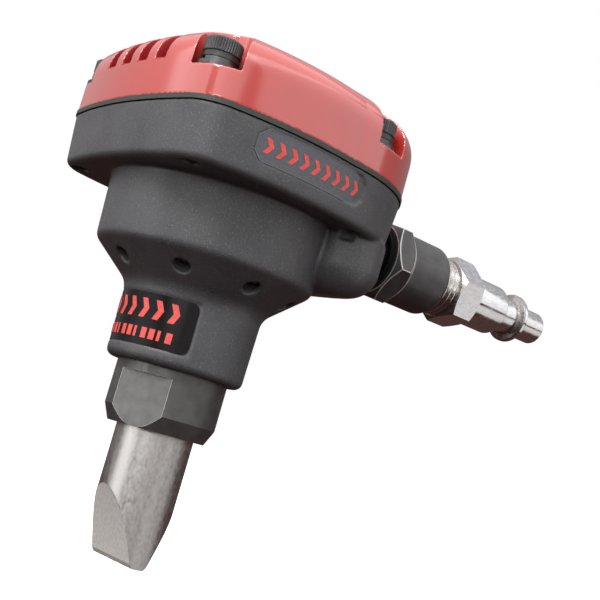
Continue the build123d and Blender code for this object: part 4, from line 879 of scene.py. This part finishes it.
bm = bmesh.new()
outer, inner = (plate_loop(inset) for inset in PLATE_RIM_INSETS)
for i in range(len(outer)):
    j = (i + 1) % len(outer)
    # The two long sides, 0 and 4, follow the flange's curve in finer steps.
    pieces = 24 if i in (0, 4) else 3
    for k in range(pieces):
        t0, t1 = k / pieces, (k + 1) / pieces
        spots = [(outer, t0), (outer, t1), (inner, t1), (inner, t0)]
        flat = [tuple(Vector(loop[i]).lerp(Vector(loop[j]), t)) for loop, t in spots]
        lower = [bm.verts.new(flank(x, z, PLATE_OUT)) for x, z in flat]
        upper = [bm.verts.new(flank(x, z, PLATE_RIM_OUT)) for x, z in flat]
        bm.faces.new(upper)
        bm.faces.new(lower[::-1])
        for a, b in ((0, 1), (2, 3)):
            bm.faces.new((lower[a], lower[b], upper[b], upper[a]))
bmesh.ops.remove_doubles(bm, verts=bm.verts, dist=1e-4)
rim = from_bmesh("side_nameplate_rim", bm)
finish_piece(rim, "housing", None, "nameplate_paint", RIM_GREY)

bm = bmesh.new()
for index in range(PLATE_CHEVRONS):
    x = PLATE_MARKS_START + PLATE_CHEVRON_STEP * index
    chevron(bm, flank, x, PLATE_CHEVRON_Z, PLATE_CHEVRON_REACH, PLATE_CHEVRON_W, PLATE_MARK_LIFT)
device = from_bmesh("side_nameplate_device", bm)
finish_piece(device, "housing", None, "nameplate_paint", MARK_RED)

# ------------------------------------------------------------------ studio
# The camera's level heading and the level direction to its right. Lights are placed from them.
FORWARD = Vector((0.6018, 0.7986, 0))
RIGHT = Vector((0.7986, -0.6018, 0))
UP = Vector((0, 0, 1))
TARGET, LIGHT_DISTANCE = Vector((0.005, 0, 0.06)), 0.80


def around(turn, elevation):
    """A light's place, seen from the object: turn degrees to the right of the camera, and degrees up."""
    t, e = math.radians(turn), math.radians(elevation)
    level = -FORWARD * math.cos(t) + RIGHT * math.sin(t)
    return TARGET + (level * math.cos(e) + UP * math.sin(e)) * LIGHT_DISTANCE


def softbox(name, turn, elevation, width, height, radiance):
    """A rectangular white light that faces the object. radiance is the brightness its face shows."""
    light = bpy.data.lights.new(name, "AREA")
    light.shape, light.size, light.size_y = "RECTANGLE", width, height
    light.energy = radiance * width * height * math.pi
    obj = bpy.data.objects.new(name, light)
    bpy.context.scene.collection.objects.link(obj)
    obj.location = around(turn, elevation)
    obj.rotation_euler = (TARGET - obj.location).to_track_quat("-Z", "Y").to_euler()
    return obj


softbox("key", -34, 38, 0.28, 0.28, 13.0)
softbox("left_near", -72, 24, 0.75, 0.80, 1.25)
softbox("left_far", -120, 24, 0.75, 0.80, 0.35)
softbox("right_near", 4, 24, 0.90, 0.80, 1.05)
softbox("right_far", 72, 26, 0.90, 0.76, 0.95)
softbox("top", 0, 78, 1.50, 1.50, 0.85)
softbox("mid", -17, 7, 0.42, 0.14, 4.6)
softbox("low_left", -60, -8, 0.60, 0.30, 2.10)
softbox("low_right", 32, -8, 0.76, 0.30, 0.52)
# This one only puts a reflection under the plug.
softbox("low_far", 74, -18, 0.80, 0.36, 0.75).visible_diffuse = False

world = bpy.data.worlds.new("studio")
bpy.context.scene.world = world
world.use_nodes = True
nodes, links = world.node_tree.nodes, world.node_tree.links
room = nodes["Background"]
place, split = nodes.new("ShaderNodeTexCoord"), nodes.new("ShaderNodeSeparateXYZ")
fade = nodes.new("ShaderNodeValToRGB")
below, above = fade.color_ramp.elements
below.position, below.color = 0.0, (0.085, 0.044, 0.040, 1)
above.position, above.color = 0.7, (0.55, 0.55, 0.56, 1)
links.new(place.outputs["Generated"], split.inputs["Vector"])
links.new(split.outputs["Z"], fade.inputs["Fac"])
links.new(fade.outputs["Color"], room.inputs["Color"])
# The camera sees plain white past the floor. The object is lit by the room's fade.
backdrop, path = nodes.new("ShaderNodeBackground"), nodes.new("ShaderNodeLightPath")
mix = nodes.new("ShaderNodeMixShader")
backdrop.inputs["Color"].default_value = (1, 1, 1, 1)
links.new(path.outputs["Is Camera Ray"], mix.inputs["Fac"])
links.new(room.outputs["Background"], mix.inputs[1])
links.new(backdrop.outputs["Background"], mix.inputs[2])
links.new(mix.outputs["Shader"], nodes["World Output"].inputs["Surface"])

# A paper-white floor, in metres, a little under the blade.
FLOOR_R, FLOOR_Z = 6.0, -0.004
floor_mesh = bpy.data.meshes.new("floor")
bm = bmesh.new()
bmesh.ops.create_circle(bm, cap_ends=True, radius=FLOOR_R, segments=96)
bm.to_mesh(floor_mesh)
bm.free()
floor = add_object("floor", floor_mesh)
floor.location.z = FLOOR_Z
glow = {"Emission_Color": (1, 1, 1, 1), "Emission_Strength": 0.75}
floor_paint = material("floor_white", (0.90, 0.90, 0.90), 0.9, **glow)
drive(floor_paint, "Base Color", ramp(floor_paint, noise(floor_paint, 3.0), 0.90, 0.94))
floor.data.materials.append(floor_paint)
floor.visible_diffuse = False
floor.visible_glossy = False

# The photo's camera looks up by the pitch and is rolled.
PITCH, ROLL = math.radians(7.8), math.radians(15.8)
CAMERA_PLACE, FOCAL_LENGTH, SENSOR = (-0.1223, -0.1959, 0.0270), 69.8, 36.0
sight = FORWARD * math.cos(PITCH) + UP * math.sin(PITCH)
level_up = UP * math.cos(PITCH) - FORWARD * math.sin(PITCH)
camera_right = RIGHT * math.cos(ROLL) + level_up * math.sin(ROLL)
camera_up = level_up * math.cos(ROLL) - RIGHT * math.sin(ROLL)
lens = bpy.data.cameras.new("camera")
lens.lens, lens.sensor_width = FOCAL_LENGTH, SENSOR
lens.clip_start, lens.clip_end = 0.01, 50.0
camera = bpy.data.objects.new("camera", lens)
bpy.context.scene.collection.objects.link(camera)
axes = Matrix((camera_right, camera_up, -sight)).transposed()
camera.matrix_world = Matrix.Translation(CAMERA_PLACE) @ axes.to_4x4()
bpy.context.scene.camera = camera
bpy.context.scene.view_settings.view_transform = "Standard"
